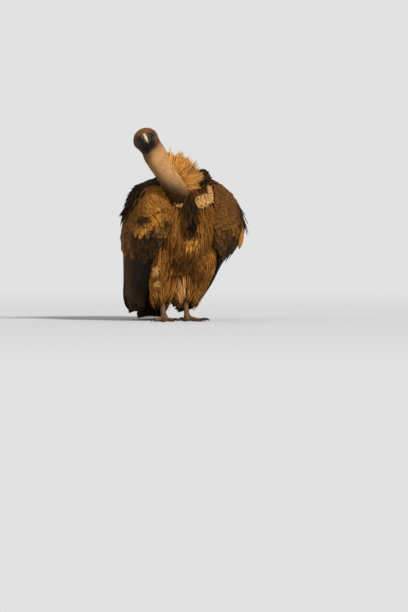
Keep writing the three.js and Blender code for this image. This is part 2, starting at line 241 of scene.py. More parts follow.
class Surface:
    """A closed mesh of triangles with smooth normals, on which feathers are rooted and laid."""

    def __init__(self, points, faces):
        self.points = points
        self.faces = faces
        ends = np.concatenate([faces[:, [0, 1]], faces[:, [1, 2]], faces[:, [2, 0]]])
        self.edges = np.unique(np.sort(ends, axis=1), axis=0)
        self.degree = np.bincount(self.edges.ravel(), minlength=len(points))
        self.refresh()

    def refresh(self):
        """Works the normals and the search tree out again after the points have moved."""
        a, b, c = (self.points[self.faces[:, k]] for k in range(3))
        across = np.cross(b - a, c - a)
        self.areas = np.linalg.norm(across, axis=1) / 2
        normals = np.zeros_like(self.points)
        for k in range(3):
            for axis in range(3):
                normals[:, axis] += np.bincount(self.faces[:, k], across[:, axis], len(self.points))
        self.normals = unit(normals)
        self.tree = BVHTree.FromPolygons(self.points.tolist(), self.faces.tolist())

    def spread(self, values, rounds, rate=0.5):
        """Each round moves every point's value towards the mean of its neighbours."""
        values = np.array(values, float)
        flat = values.reshape(len(values), -1)
        i, j = self.edges.T
        for _ in range(rounds):
            for axis in range(flat.shape[1]):
                column = flat[:, axis]
                total = np.bincount(i, column[j], len(flat)) + np.bincount(j, column[i], len(flat))
                flat[:, axis] = column + rate * (total / self.degree - column)
        return flat.reshape(values.shape)

    def relax(self, rounds, where=1):
        """Smooths the shape and keeps its volume."""
        for _ in range(rounds):
            calm = self.spread(self.spread(self.points, 1, 0.5), 1, -0.53)
            self.points = self.points + (calm - self.points) * where
        self.refresh()

    def fill(self, rounds, where):
        """Fills hollows by smoothing, and takes nothing off the rises."""
        calm = self.spread(self.points, rounds) - self.points
        self.push(np.maximum((calm * self.normals).sum(1), 0) * where, 1)

    def push(self, height, scale=MM):
        """Moves the points out along their normals."""
        self.points = self.points + self.normals * height[:, None] * scale
        self.refresh()

    def nearest(self, places):
        """The nearest points of the surface and its smooth normals there."""
        found = [self.tree.find_nearest(place) for place in places.tolist()]
        spots = np.array([hit[0] for hit in found])
        ring = self.faces[[hit[2] for hit in found]]
        reach = np.linalg.norm(self.points[ring] - spots[:, None], axis=2)
        return spots, unit((self.normals[ring] / (reach + 1e-4)[..., None]).sum(1))

    def inside(self, places):
        spots, normals = self.nearest(places)
        return ((places - spots) * normals).sum(1) < 0


def node_mesh(node):
    """A CAD node as an edit mesh, with the points that its faces share merged."""
    mesh = bmesh.new()
    mesh.from_mesh(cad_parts[node].data)
    bmesh.ops.remove_doubles(mesh, verts=mesh.verts, dist=1e-6)
    return mesh


def arrays(mesh):
    """The points and triangles of an edit mesh, which is freed."""
    bmesh.ops.triangulate(mesh, faces=mesh.faces)
    mesh.verts.index_update()
    points = np.array([v.co for v in mesh.verts])
    faces = np.array([[v.index for v in f.verts] for f in mesh.faces])
    mesh.free()
    return points, faces


def gathered(nodes, grow=0):
    """Several CAD nodes' points and triangles as one list, and which node each triangle is of."""
    points, faces, owner, count = [], [], [], 0
    for number, node in enumerate(nodes):
        mesh = node_mesh(node)
        bmesh.ops.triangulate(mesh, faces=mesh.faces)
        mesh.normal_update()
        normals = np.array([v.normal for v in mesh.verts])
        own, triangles = arrays(mesh)
        points.append(own + normals * grow)
        faces.append(triangles + count)
        owner.append(np.full(len(triangles), number))
        count += len(own)
    return np.concatenate(points), np.concatenate(faces), np.concatenate(owner)


def cut_short(node, place, way):
    """The part of a CAD node behind a plane, closed where it is cut."""
    mesh = node_mesh(node)
    bmesh.ops.bisect_plane(mesh, geom=[*mesh.verts, *mesh.edges, *mesh.faces], plane_co=place, plane_no=way,
                           clear_outer=True)
    bmesh.ops.holes_fill(mesh, edges=[e for e in mesh.edges if e.is_boundary])
    return arrays(mesh)


def remeshed(nodes, voxel, rounds, grow=0.6, more=()):
    """One smooth closed surface round some CAD nodes, with the thin gaps between them closed."""
    points, faces, _ = gathered(nodes, grow * MM)
    for extra_points, extra_faces in more:
        faces = np.concatenate([faces, extra_faces + len(points)])
        points = np.concatenate([points, extra_points])
    made = mesh_object("form", points, faces)
    remesh = made.modifiers.new("remesh", "REMESH")
    remesh.mode = "VOXEL"
    remesh.voxel_size = voxel * MM
    shape = made.evaluated_get(bpy.context.evaluated_depsgraph_get()).data
    points = np.zeros(len(shape.vertices) * 3)
    shape.vertices.foreach_get("co", points)
    quads = np.zeros(len(shape.loops), int)
    shape.loops.foreach_get("vertex_index", quads)
    quads = quads.reshape(-1, 4)
    bpy.data.objects.remove(made)
    form = Surface(points.reshape(-1, 3), np.concatenate([quads[:, [0, 1, 2]], quads[:, [0, 2, 3]]]))
    form.relax(rounds)
    return form


def refined(form, chosen, cuts):
    """The surface with the triangles round some of its points cut finer."""
    mesh = bmesh.new()
    made = [mesh.verts.new(p) for p in form.points.tolist()]
    for a, b, c in form.faces.tolist():
        mesh.faces.new((made[a], made[b], made[c]))
    mesh.verts.ensure_lookup_table()
    edges = [e for e in mesh.edges if chosen[e.verts[0].index] and chosen[e.verts[1].index]]
    bmesh.ops.subdivide_edges(mesh, edges=edges, cuts=cuts, use_grid_fill=True)
    return Surface(*arrays(mesh))


BILL_NODES = ["bill_upper", "bill_lower"]
BODY_NODES = ["trunk", "neck", "crop", "thigh_left", "thigh_right"]
FLESH_NODES = ["head", *BODY_NODES, "wing_left", "wing_right", "tarsus_left", "tarsus_right",
               "foot_left", "foot_right"]
KINDS = np.array([node.split("_")[0] for node in FLESH_NODES])
FLESH_POINTS, FLESH_FACES, FLESH_OWNER = gathered(FLESH_NODES)
FLESH = BVHTree.FromPolygons(FLESH_POINTS.tolist(), FLESH_FACES.tolist())


def node_at(points):
    """For each point, the number of the flesh node nearest to it."""
    return FLESH_OWNER[[FLESH.find_nearest(p)[2] for p in points.tolist()]]


# ---------------------------------------------------------------------------------------------------------
# Markings and painted shade, shared by the skin and the coat

# For each kind of node: the colour of its feathers, that of their edges, and the coat's depth in millimetres.
COAT = {
    "head": ("neck", "cream", 1.2), "neck": ("neck", "cream", 2.5), "crop": ("breast", "breast_pale", 7),
    "trunk": ("breast", "breast_pale", 11), "thigh": ("trouser", "breast_pale", 10),
    "wing": ("covert", "covert_edge", 8), "tarsus": ("shank", "shank", 0), "foot": ("shank", "shank", 0),
}
BASE, EDGE = (np.array([COLOURS[COAT[kind][k]] for kind in KINDS]) for k in (0, 1))
DEPTH = np.array([COAT[kind][2] for kind in KINDS])

# Marks on the body: the place, counted from BIRD, the reach along X, Y and Z, all in millimetres, the
# turn about Y in degrees, the colour and its strength.
BODY_MARKS = [
    ((0, -20, 610), (150, 200, 125), 0, "mantle", 0.9),
    ((74, -66, 532), (48, 80, 72), 0, "black", 0.95),
    ((-74, -50, 520), (40, 80, 44), 0, "black", 0.9),
    ((10, -112, 314), (32, 60, 27), 0, "ruff", 0.95),
    ((-40, -90, 360), (26, 60, 60), 0, "breast_pale", 0.45),
    ((40, -90, 350), (24, 60, 66), 0, "breast_pale", 0.45),
    # Painted shade on the lower belly, in the mantle's dark brown.
    ((-6, -70, 245), (80, 70, 48), 0, "mantle", 0.7),
    ((62, -30, 190), (50, 70, 60), 0, "russet", 0.6),
    ((26, -91, 474), (44, 70, 36), 0, "crop", 0.95),
    ((3, -130, 440), (42, 90, 44), 0, "crop", 1),
    ((4, -130, 396), (34, 90, 66), 0, "crop", 1),
    ((3, -130, 356), (33, 90, 50), 0, "black", 0.97),
    ((48, -90, 446), (38, 70, 27), 0, "cream", 1),
    ((81, -75, 460), (36, 60, 21), 0, "cream", 1),
    ((97, -60, 490), (16, 60, 44), 0, "cream", 1),
    ((-43, -93, 449), (34, 50, 13), 41, "cream", 1),
    ((72, -80, 464), (14, 40, 9), 0, "pink", 0.7),
    ((-101, -22, 192), (11, 40, 24), 10, "cream", 0.95),
    ((-84, 7, 146), (13, 40, 13), -20, "cream", 0.8),
    ((10, 10, 120), (30, 60, 70), 0, "buff", 0.95),
]


def mark_share(points, mark):
    place, reach, turn, *_ = mark
    return blob(points, BIRD + np.array(place) * MM, np.array(reach) * MM, turn)


def ragged(points):
    """Makes the edges of the marks uneven."""
    return 1 + 0.7 * ripple(points, (10, 10, 15), 1.7)


def head_share(points):
    """How much a point belongs to the head: 1 there, falling to 0 along the neck, later on the throat."""
    down, throat = from_head(points, NECK_WAY), from_head(points, THROAT_WAY)
    return smooth(74 - 0.25 * np.minimum(throat, 0), 24, down - 0.75 * np.maximum(throat, 0))


def head_plumage_and_shade(points):
    """Dark face, brown crown and cheeks, a dark throat that is partly painted shade under the head, and
    painted shade over the head's right side, in the head's own axes.
    """
    ahead, left, up = in_head(points).T / MM
    side = np.abs(left)
    face = smooth(16, 27, ahead) * smooth(22, 10, up)
    eyes = smooth(19, 11, np.hypot(np.hypot(ahead - 9, side - 28), up - 5))
    lores = smooth(12, 4, np.hypot((ahead - 26) / 1.4, up - 4)) * (side > 8)
    # The dark throat is partly painted shade under the bill and head.
    throat = smooth(-4, -20, up) * smooth(-26, 0, ahead) * smooth(36, 18, side)
    ear = smooth(9, 4, np.hypot(np.hypot(ahead + 24, side - 40), up))
    dark = np.clip(face + 0.8 * eyes + lores + throat + 0.5 * ear, 0, 1)
    # Painted shade: the head's right side and lower part darkened towards the face colour, as if turned from
    # the light.
    painted_side_shade = smooth(4, -18, left) * smooth(22, 2, up) * smooth(-40, -10, ahead)
    tint = mixed(mixed("crown", "cheek", smooth(12, -4, up)), "face", painted_side_shade * 0.65)
    return mixed(tint, "face", dark)


def plumage_and_shade(points, owners, without=()):
    """The colour of the plumage at each point and of its feathers' edges there, with painted shade on the
    lower belly, on the neck's throat side and lower edge, and on the head.
    """
    names = KINDS[owners]
    x, y, z = (points - BIRD).T / MM
    streaks = ripple(points, (20, 30, 70))
    blotch = ripple(points, (60, 60, 60), 7.3)
    on_body = np.isin(names, ["trunk", "crop", "thigh"])
    bright = np.clip(0.35 * streaks + 0.3 * blotch, -0.5, 0.5) * on_body
    tint, trim = BASE[owners] * np.exp(bright)[:, None], EDGE[owners] * np.exp(0.7 * bright)[:, None]
    behind = on_body * smooth(60, 110, y)
    tint, trim = mixed(tint, "back", behind), mixed(trim, "covert_edge", behind * 0.5)
    uneven = ragged(points)
    for mark in BODY_MARKS:
        colour, strength = mark[3:]
        if colour in without:
            continue
        share = np.clip(mark_share(points, mark) * uneven, 0, 1) * strength * on_body
        tint, trim = mixed(tint, colour, share), mixed(trim, COLOURS[colour] * 1.15, share * 0.9)
    neck = names == "neck"
    # Painted shade down the neck's throat side, which is turned from the light, in the cheek's brown.
    tint, trim = washed((tint, trim), "cheek", neck * smooth(4, 32, from_head(points, THROAT_WAY)) * 0.6)
    pink = neck * np.clip(0.3 + 0.6 * ripple(points, (26, 26, 34), 3.1), 0, 1) * smooth(610, 540, z)
    tint = mixed(tint, "pink", pink * 0.45)
    woolly = neck * (0.16 * ripple(points, (6, 6, 13), 6.2) + 0.14 * ripple(points, (20, 20, 36), 8.8))
    tint, trim = tint * np.exp(woolly)[:, None], trim * np.exp(woolly)[:, None]
    # The base of the neck darkens: darker feathers there, and painted shade along its lower edge.
    low = neck * smooth(528, 452, z + 0.35 * x)
    tint, trim = mixed(tint, "neck_low", low), mixed(trim, "crop", low)
    head = np.isin(names, ["head", "neck"]) * head_share(points)
    own = head_plumage_and_shade(points)
    return mixed(tint, own, head), mixed(trim, own * 1.25, head)


# ---------------------------------------------------------------------------------------------------------
# Stage, lamps, camera and materials


class Shading:
    """Builds one tree of shader nodes with short calls."""

    def __init__(self, owner, out):
        owner.use_nodes = True
        self.tree = owner.node_tree
        self.tree.nodes.clear()
        self.out = self.add(out)

    def feed(self, socket, value):
        """Links a node or one of its sockets to a socket, or gives the socket a value."""
        if isinstance(value, bpy.types.Node):
            value = value.outputs[0]
        if isinstance(value, bpy.types.NodeSocket):
            self.tree.links.new(value, socket)
        elif isinstance(value, (int, float)):
            socket.default_value = value
        else:
            socket.default_value = [*value, 1]

    def add(self, kind, inputs=(), **settings):
        """A new node with some settings, and what goes into some of its sockets."""
        node = self.tree.nodes.new("ShaderNode" + kind)
        for name, value in settings.items():
            setattr(node, name, value)
        for key, value in dict(inputs).items():
            self.feed(node.inputs[key], value)
        return node

    def place(self):
        return self.add("TexCoord").outputs["Object"]


def make_stage():
    """A wide pale floor that catches the shadow and fades into the background far from the bird."""
    floor = mesh_object("floor", np.array([[-60, -60, 0], [60, -60, 0], [60, 60, 0], [-60, 60, 0]]),
                        np.array([[0, 1, 2, 3]]))
    material = bpy.data.materials.new("floor_paint")
    floor.data.materials.append(material)
    ground = Shading(material, "OutputMaterial")
    away = ground.add("VectorMath", {0: ground.place()}, operation="LENGTH").outputs["Value"]
    fade = ground.add("MapRange", {"Value": away, "From Min": 0.5, "From Max": 5},
                      interpolation_type="SMOOTHSTEP")
    near, far = ground.add("BsdfDiffuse", {"Color": FLOOR_TINT}), ground.add("Emission", {"Color": BACKDROP})
    ground.feed(ground.out.inputs[0], ground.add("MixShader", {0: fade, 1: near, 2: far}))

    world = bpy.data.worlds.new("studio")
    bpy.context.scene.world = world
    sky = Shading(world, "OutputWorld")
    path = sky.add("LightPath")
    rays = path.outputs["Is Camera Ray"]
    for kind in ("Is Glossy Ray", "Is Transmission Ray"):
        rays = sky.add("Math", {0: rays, 1: path.outputs[kind]}, operation="MAXIMUM")
    light, seen = sky.add("Background", {"Strength": 0.45}), sky.add("Background", {"Color": BACKDROP})
    sky.feed(sky.out.inputs[0], sky.add("MixShader", {0: rays, 1: light, 2: seen}))


def toward(azimuth, elevation):
    """The direction from the bird towards something round it."""
    a, e = math.radians(azimuth), math.radians(elevation)
    return Vector((math.sin(a) * math.cos(e), -math.cos(a) * math.cos(e), math.sin(e)))


def aimed(name, data, back):
    """A lamp or camera that looks at the bird from the side that `back` points to."""
    made = bpy.data.objects.new(name, data)
    bpy.context.scene.collection.objects.link(made)
    made.rotation_euler = back.to_track_quat("Z", "Y").to_euler()
    return made


def make_lamp(name, azimuth, elevation, energy, angle):
    """A soft distant lamp."""
    lamp = bpy.data.lights.new(name, "SUN")
    lamp.energy = energy
    lamp.angle = math.radians(angle)
    aimed(name, lamp, toward(azimuth, elevation))


def make_camera():
    back = toward(VIEW["azimuth"], VIEW["elevation"])
    lens = bpy.data.cameras.new("camera")
    lens.sensor_fit = "VERTICAL"
    lens.sensor_height = 36
    lens.lens = lens.sensor_height * VIEW["distance"] / VIEW["height"]
    lens.clip_end = 200
    made = aimed("camera", lens, back)
    turn = math.radians(VIEW["azimuth"])
    aim = Vector((math.cos(turn), math.sin(turn), 0)) * VIEW["right"] + Vector((0, 0, VIEW["up"]))
    made.location = aim + back * VIEW["distance"]
    bpy.context.scene.camera = made


class Paint(Shading):
    """One material: a principled shader and what goes into it."""

    def __init__(self, name):
        self.material = bpy.data.materials.new(name)
        super().__init__(self.material, "OutputMaterial")
        self.shader = self.add("BsdfPrincipled")
        self.feed(self.out.inputs[0], self.shader)

    def math(self, operation, first, second=0.0):
        return self.add("Math", {0: first, 1: second}, operation=operation)

    def plus(self, first, second):
        return self.math("ADD", first, second)

    def times(self, first, second):
        return self.math("MULTIPLY", first, second)

    def step(self, value, low, high):
        """0 where the value is at low, 1 where it is at high, with a soft step between."""
        falling = high < low
        ends = {"From Min": min(low, high), "From Max": max(low, high), "To Min": float(falling),
                "To Max": float(not falling)}
        return self.add("MapRange", {"Value": value, **ends}, interpolation_type="SMOOTHSTEP")

    def mix(self, share, first, second):
        node = self.add("Mix", data_type="RGBA")
        for key, value in (("Factor", share), ("A", first), ("B", second)):
            self.feed(node.inputs[key], value)
        return node.outputs["Result"]

    def noise(self, scale, detail=3):
        return self.add("TexNoise", {"Scale": scale, "Detail": detail, "Vector": self.place()}).outputs["Fac"]

    def read(self, name, output="Color"):
        return self.add("Attribute", attribute_name=name).outputs[output]

    def finish(self, colour, height, strength, depth, roughness, specular=0.3, coat=0.0):
        """Feeds the shader: its colour, its bumps and how it shines."""
        bumps = {"Height": height, "Strength": strength, "Distance": depth * MM}
        values = {"Base Color": colour, "Roughness": roughness, "Specular IOR Level": specular,
                  "Coat Weight": coat, "Coat Roughness": 0.05}
        if height is not None:
            values["Normal"] = self.add("Bump", bumps)
        for key, value in values.items():
            self.feed(self.shader.inputs[key], value)
        return self.material


FULL_TURN = 6.283


def feather_paint(name, barbs=26, edge=(0.35, 0.95), shaft=0.5, barb_depth=0.2, mottle=0.15, tip_share=0.6):
    """A vane: pale edges, a shaft streak and fine slanting barbs, coloured by the feather's own tints."""
    paint = Paint(name)
    vane = paint.add("SeparateXYZ", {0: paint.read("vane", "Vector")}).outputs
    across = paint.math("ABSOLUTE", vane[0])
    along, seed = vane[1], vane[2]
    tint, trim = paint.read("tint"), paint.read("trim")
    wander = paint.times(paint.math("SUBTRACT", paint.noise(260, 4), 0.5), 0.5)
    rim = paint.step(paint.plus(across, wander), *edge)
    tip = paint.times(paint.step(along, 0.7, 1), tip_share)
    colour = paint.mix(paint.math("MAXIMUM", rim, tip), tint, trim)
    colour = paint.mix(paint.times(paint.step(across, 0.22, 0.02), shaft), colour, trim)
    turn = paint.plus(paint.times(along, barbs * FULL_TURN), paint.times(across, -7))
    turn = paint.plus(paint.plus(turn, paint.times(seed, 40)), paint.times(wander, 5))
    barb = paint.times(paint.plus(paint.math("SINE", turn), 1), 0.5)
    colour = paint.mix(paint.times(barb, barb_depth), colour, (0.02, 0.012, 0.008))
    stain = paint.times(paint.step(paint.noise(45, 2), 0.35, 0.7), mottle)
    colour = paint.mix(stain, colour, (0.03, 0.02, 0.012))
    return paint.finish(colour, barb, 0.3, 0.3, 0.8, specular=0.07)


def horn_paint(name, roughness, streaks, coat=0.0, dark=0.35):
    """Horn with fine growth lines and faint mottling."""
    paint = Paint(name)
    lines, stain = paint.noise(streaks, 4), paint.noise(70)
    grooves = paint.times(paint.step(lines, 0.45, 0.7), dark)
    colour = paint.mix(grooves, paint.read("tint"), (0.03, 0.02, 0.015))
    colour = paint.mix(paint.times(paint.step(stain, 0.5, 0.75), dark), colour, (0.09, 0.06, 0.04))
    return paint.finish(colour, lines, 0.25, 0.3, roughness, specular=0.35, coat=coat)


def eye_paint():
    """A dark iris with fine spokes under a clear gloss."""
    paint = Paint("eye_paint")
    grain = paint.step(paint.noise(900), 0.35, 0.7)
    colour = paint.mix(paint.times(grain, 0.5), paint.read("tint"), (0.005, 0.003, 0.002))
    return paint.finish(colour, None, 0, 0, 0.12, specular=0.12)


def skin_paint():
    """Bare and down-covered skin: its markings, fine creases, and scales on the legs."""
    paint = Paint("skin_paint")
    wrinkles = paint.noise(420, 5)
    cells = paint.add("TexVoronoi", feature="DISTANCE_TO_EDGE")
    paint.feed(cells.inputs["Scale"], 260)
    paint.feed(cells.inputs["Vector"], paint.place())
    groove = paint.times(paint.step(cells.outputs["Distance"], 0.1, 0.0), paint.read("scaly", "Fac"))
    groove = paint.math("MAXIMUM", paint.times(groove, 0.4), paint.read("groove", "Fac"))
    creases = paint.times(paint.step(wrinkles, 0.4, 0.65), 0.35)
    colour = paint.mix(creases, paint.read("tint"), (0.05, 0.03, 0.02))
    colour = paint.mix(paint.times(groove, 0.6), colour, (0.03, 0.02, 0.015))
    return paint.finish(colour, paint.math("SUBTRACT", wrinkles, groove), 0.5, 0.5, 0.72)


PAINTS = {
    "body": feather_paint("body_vane", edge=(0.35, 1.05), shaft=0.35, barb_depth=0.16, mottle=0.1),
    "covert": feather_paint("covert_vane", barbs=20, edge=(0.6, 1.0), shaft=0.12, barb_depth=0.15,
                            mottle=0.1),
    "greater": feather_paint("greater_vane", barbs=44, edge=(0.66, 0.92), shaft=0.1, tip_share=0.25),
    "flight": feather_paint("flight_vane", barbs=120, edge=(0.78, 1.0), shaft=0.15),
    "ruff": feather_paint("ruff_vane", barbs=34, edge=(0.3, 1), shaft=0.3, barb_depth=0.12, mottle=0.08),
    "bill": horn_paint("bill_horn", 0.45, 240, coat=0.05, dark=0.2),
    "claw": horn_paint("claw_horn", 0.42, 300, coat=0.1),
    "eye": eye_paint(),
    "skin": skin_paint(),
    "down": feather_paint("down_tuft", barbs=3, edge=(0.2, 1.1), shaft=0.2, barb_depth=0.06, mottle=0.08),
}

# ---------------------------------------------------------------------------------------------------------
# Feathers

# Cross-sections of a feather, in half widths across and in thicknesses up.
TUFT = [(-1, 0), (0, 1), (1, 0)]
BLADE = [(-1, 0), (0, 1), (1, 0), (0, -0.3)]
BROAD = [(-1, 0), (-0.5, 0.7), (0, 1), (0.5, 0.7), (1, 0), (0, -0.3)]

# Outlines of feathers: shares of the half width from root to tip.
LENS = [0.2, 0.75, 1, 0.95, 0.75, 0.42, 0.08]
SOFT_TIP = [0.25, 0.7, 0.95, 1, 0.97, 0.82, 0.42]
ROUND_TIP = [0.25, 0.7, 0.95, 1, 1, 0.92, 0.6]
BLUNT_TIP = [0.3, 0.75, 0.95, 1, 1, 0.97, 0.62]
LONG_TIP = [0.3, 0.75, 0.95, 1, 0.96, 0.8, 0.35]

# How wide one feather's patch is in the map OFBake.
PATCH = 0.003


def unwrap(points, owners):
    """Each flesh node unrolled round its own long axis, into its own column of the map."""
    places = np.zeros((len(points), 2))
    present = np.unique(owners)
    for column, number in enumerate(present):
        mine = owners == number
        low, high = corners(FLESH_NODES[number])
        axis = {"head": AHEAD, "neck": -NECK_WAY}.get(FLESH_NODES[number], np.array([0.0, 0.0, 1.0]))
        side = unit(np.cross(axis, [0.3, 1.0, 0.2]))
        away = points[mine] - (low + high) / 2
        turn = np.arctan2(away @ np.cross(axis, side), away @ side) / (2 * math.pi) + 0.5
        rise = away @ axis / np.linalg.norm(high - low) + 0.5
        places[mine] = np.stack([(column + 0.02 + 0.96 * turn) / len(present), 0.02 + 0.96 * rise], 1)
    return places


def unwrap_on(points, node):
    return unwrap(points, np.full(len(points), FLESH_NODES.index(node)))


def blade_faces(rows, ring):
    """The triangles of one feather: a point at each end and rings of points between."""
    faces = []
    last = 1 + (rows - 2) * ring
    for k in range(ring):
        n = (k + 1) % ring
        faces.append((0, 1 + n, 1 + k))
        for r in range(rows - 3):
            a, b = 1 + r * ring + k, 1 + r * ring + n
            faces += [(a, b, b + ring), (a, b + ring, a + ring)]
        faces.append((last - ring + k, last - ring + n, last))
    return np.array(faces)


def make_feathers(name, laid, half, tint, trim, paint, slot, thickness=0.7, section=BLADE, droop=0.2,
                  tilt=0, fray=0.12, replaced=()):
    """Feathers as closed vanes along their spines. `half` gives their half widths by row."""
    spine, up, places = laid
    count, rows = spine.shape[:2]
    half = half * (1 - fray * RANDOM.random(half.shape))
    steps = np.linspace(0, 1, rows)
    ways = unit(np.gradient(spine, axis=1))
    across = unit(np.cross(ways, up))
    tilt = np.radians(np.broadcast_to(tilt, count))[:, None, None]
    up, across = up * np.cos(tilt) + across * np.sin(tilt), across * np.cos(tilt) - up * np.sin(tilt)
    x, lift = np.array(section).T
    width = half[..., None] * x
    depth = np.outer(np.full(count, thickness * MM), 1 - 0.6 * steps)
    rise = lift * depth[..., None] - droop * np.abs(width) * np.abs(x)
    rings = spine[:, :, None] + across[:, :, None] * width[..., None] + up[:, :, None] * rise[..., None]
    body = rings[:, 1:-1].reshape(count, -1, 3)
    points = np.concatenate([spine[:, :1], body, spine[:, -1:]], axis=1)
    each = points.shape[1]
    own_x = np.concatenate([[0], np.tile(x, rows - 2), [0]])
    own_t = np.concatenate([[0], np.repeat(steps[1:-1], len(x)), [1]])
    seed = RANDOM.random(count)
    vane = np.stack([np.tile(own_x, (count, 1)), np.tile(own_t, (count, 1)), np.tile(seed, (each, 1)).T], -1)
    one = blade_faces(rows, len(x))
    faces = (one[None] + np.arange(count)[:, None, None] * each).reshape(-1, 3)
    made = add_piece(name, points.reshape(-1, 3), faces, PAINTS[paint], slot, replaced,
                     vane=vane.reshape(-1, 3), tint=np.repeat(tint, each, axis=0),
                     trim=np.repeat(trim, each, axis=0))
    flat = places[:, None] + (np.stack([own_x * 0.5, own_t - 0.5], -1) * PATCH)[None]
    layer = made.data.uv_layers.new(name="OFBake")
    layer.data.foreach_set("uv", flat.reshape(-1, 2)[faces.ravel()].astype(np.float32).ravel())
    print(name, count, "feathers", len(faces), "triangles")


# How many places are tried for each root that there is room for.
TRIES = 6


def scatter(form, spacing, chosen):
    """Roots spread evenly over part of a form, about as many millimetres apart as `spacing`."""
    middles = form.points[form.faces].mean(1)
    picked = np.nonzero(chosen(middles))[0]
    gap = spacing * MM
    weights = form.areas[picked] / (gap * gap)
    count = int(weights.sum() * TRIES)
    faces = form.faces[RANDOM.choice(picked, count, p=weights / weights.sum())]
    a, b = RANDOM.random((2, count))
    flip = a + b > 1
    a, b = np.where(flip, 1 - a, a)[:, None], np.where(flip, 1 - b, b)[:, None]
    p, q, r = (form.points[faces[:, k]] for k in range(3))
    points = p + a * (q - p) + b * (r - p)
    cells, kept = {}, []
    for k, spot in enumerate(points.tolist()):
        i, j, m = (int(c // gap) for c in spot)
        near = (other for di in (-1, 0, 1) for dj in (-1, 0, 1) for dm in (-1, 0, 1)
                for other in cells.get((i + di, j + dj, m + dm), ()))
        if all((spot[0] - o[0]) ** 2 + (spot[1] - o[1]) ** 2 + (spot[2] - o[2]) ** 2 >= gap * gap
               for o in near):
            cells.setdefault((i, j, m), []).append(spot)
            kept.append(k)
    return points[kept]


def laid_on(form, roots, ways, lengths, lift, stray=0.0):
    """Lays one feather from each root along a form. `lift` gives its height over the form by row."""
    count, rows = lift.shape
    spots, normals = form.nearest(roots)
    places = unwrap(spots, node_at(spots))
    ways = unit(ways + np.cross(ways, normals) * RANDOM.normal(0, stray, (count, 1)))
    step = lengths[:, None] / (rows - 1)
    spine, up = np.zeros((count, rows, 3)), np.zeros((count, rows, 3))
    for k in range(rows):
        if k:
            spots, normals = form.nearest(spots + ways * step)
        ways = unit(ways - normals * (ways * normals).sum(1, keepdims=True))
        spine[:, k], up[:, k] = spots, normals
    spine[:, 1:-1] = (spine[:, :-2] + spine[:, 1:-1] * 2 + spine[:, 2:]) / 4
    return spine + up * lift[..., None], up, places


def jitter(count, amount):
    return 1 + RANDOM.uniform(-amount, amount, count)


def toned(colours, amount):
    """Each feather a little lighter or darker than its neighbours."""
    return colours * np.exp(RANDOM.normal(0, amount, (len(colours), 1)))


def lifted(count, keys, steps):
    """One rise over the form, in millimetres, for each of some feathers."""
    return np.tile(keyed(keys, steps), (count, 1)) * MM


def shaped(count, amount, outline, half):
    """Half widths by row of some feathers of one outline and about one size."""
    return np.outer(jitter(count, amount), outline) * half * MM


def flow(points, owners, normals):
    """Which way feathers lie: down and back over the body, along the neck, and back over the head."""
    names = KINDS[owners]
    ways = np.tile([0.02, 0.3, -1.0], (len(points), 1))
    behind = smooth(-80, -45, (points - BIRD)[:, 1] / MM)
    ways[:, 1] += 1.6 * smooth(0.4, 0.85, normals[:, 2]) * behind
    ways[names == "neck"] = NECK_WAY
    ways[names == "head"] = -AHEAD + 0.25 * NECK_WAY
    ways[names == "thigh"] = (0, 0.25, -1)
    return unit(ways)


def fold(form):
    """Long shallow folds down the breast, sides and thighs, as the feathers part there."""
    loose = form.spread(np.isin(KINDS[node_at(form.points)], ["trunk", "thigh"]).astype(float), 6)
    waves = ripple(form.points, (17, 26, 95), 2.4) + 0.5 * ripple(form.points, (9, 14, 60), 5.1)
    form.push(loose * (5 * waves - 2.5))


def make_body_feathers(form, wings):
    """Long lance-shaped feathers over the trunk, crop and thighs."""
    steps = np.linspace(0, 1, 8)
    sizes = (("trunk", 8.2, 60, 6.8), ("crop", 6, 34, 4.4), ("thigh", 7.4, 64, 5.2))
    for kind, spacing, length, half in sizes:
        def chosen(points):
            covered = np.any([wing.inside(points) for wing in wings], axis=0)
            return (KINDS[node_at(points)] == kind) & ~covered & (cream_share(points) < 0.4)

        roots = scatter(form, spacing, chosen)
        roots = roots[KINDS[node_at(roots)] == kind]
        count, owners = len(roots), node_at(roots)
        lift = lifted(count, [-8, -4.5, -2.2, -0.8, 0.4, 1.4], steps)
        lift += np.outer(RANDOM.uniform(-1.5, 2.6, count), steps ** 2) * MM
        lengths = length * MM * jitter(count, 0.3)
        laid = laid_on(form, roots, flow(roots, owners, form.nearest(roots)[1]), lengths, lift, 0.14)
        widths = shaped(count, 0.25, keyed(LENS, steps), half)
        tint, trim = plumage_and_shade(roots, owners, without=["cream"])
        make_feathers(kind + "_feathers", laid, widths, toned(tint, 0.16), toned(trim, 0.14), "body",
                      "crop_feathers" if kind == "crop" else "body_feathers", fray=0.25)


def cream_share(points):
    """How far points of the body lie within its cream patches."""
    share = np.max([mark_share(points, mark) for mark in BODY_MARKS if mark[3] == "cream"], axis=0)
    return np.clip(share * ragged(points), 0, 1)


def make_cream_down(form):
    """Fluffy cream down in the patches where the body feathers part."""
    def chosen(points):
        return (cream_share(points) > 0.35) & np.isin(KINDS[node_at(points)], ["trunk", "crop", "thigh"])

    roots = scatter(form, 2.8, chosen)
    count, owners = len(roots), node_at(roots)
    rise = keyed([-3, 1.5, 3.2, 4], np.linspace(0, 1, 6))
    rise = np.tile(rise, (count, 1)) * jitter(count, 0.35)[:, None] * MM
    ways = flow(roots, owners, form.nearest(roots)[1])
    laid = laid_on(form, roots, ways, 15 * MM * jitter(count, 0.35), rise, 0.3)
    widths = shaped(count, 0.3, [0.4, 0.9, 1, 0.85, 0.55, 0.1], 1.5)
    tint = mixed(plumage_and_shade(roots, owners)[0], "cream", smooth(0.35, 0.6, cream_share(roots)) * 0.4)
    make_feathers("cream_down", laid, widths, toned(tint, 0.08), toned(tint * 1.1, 0.08), "down", "neck_down",
                  thickness=0.5)


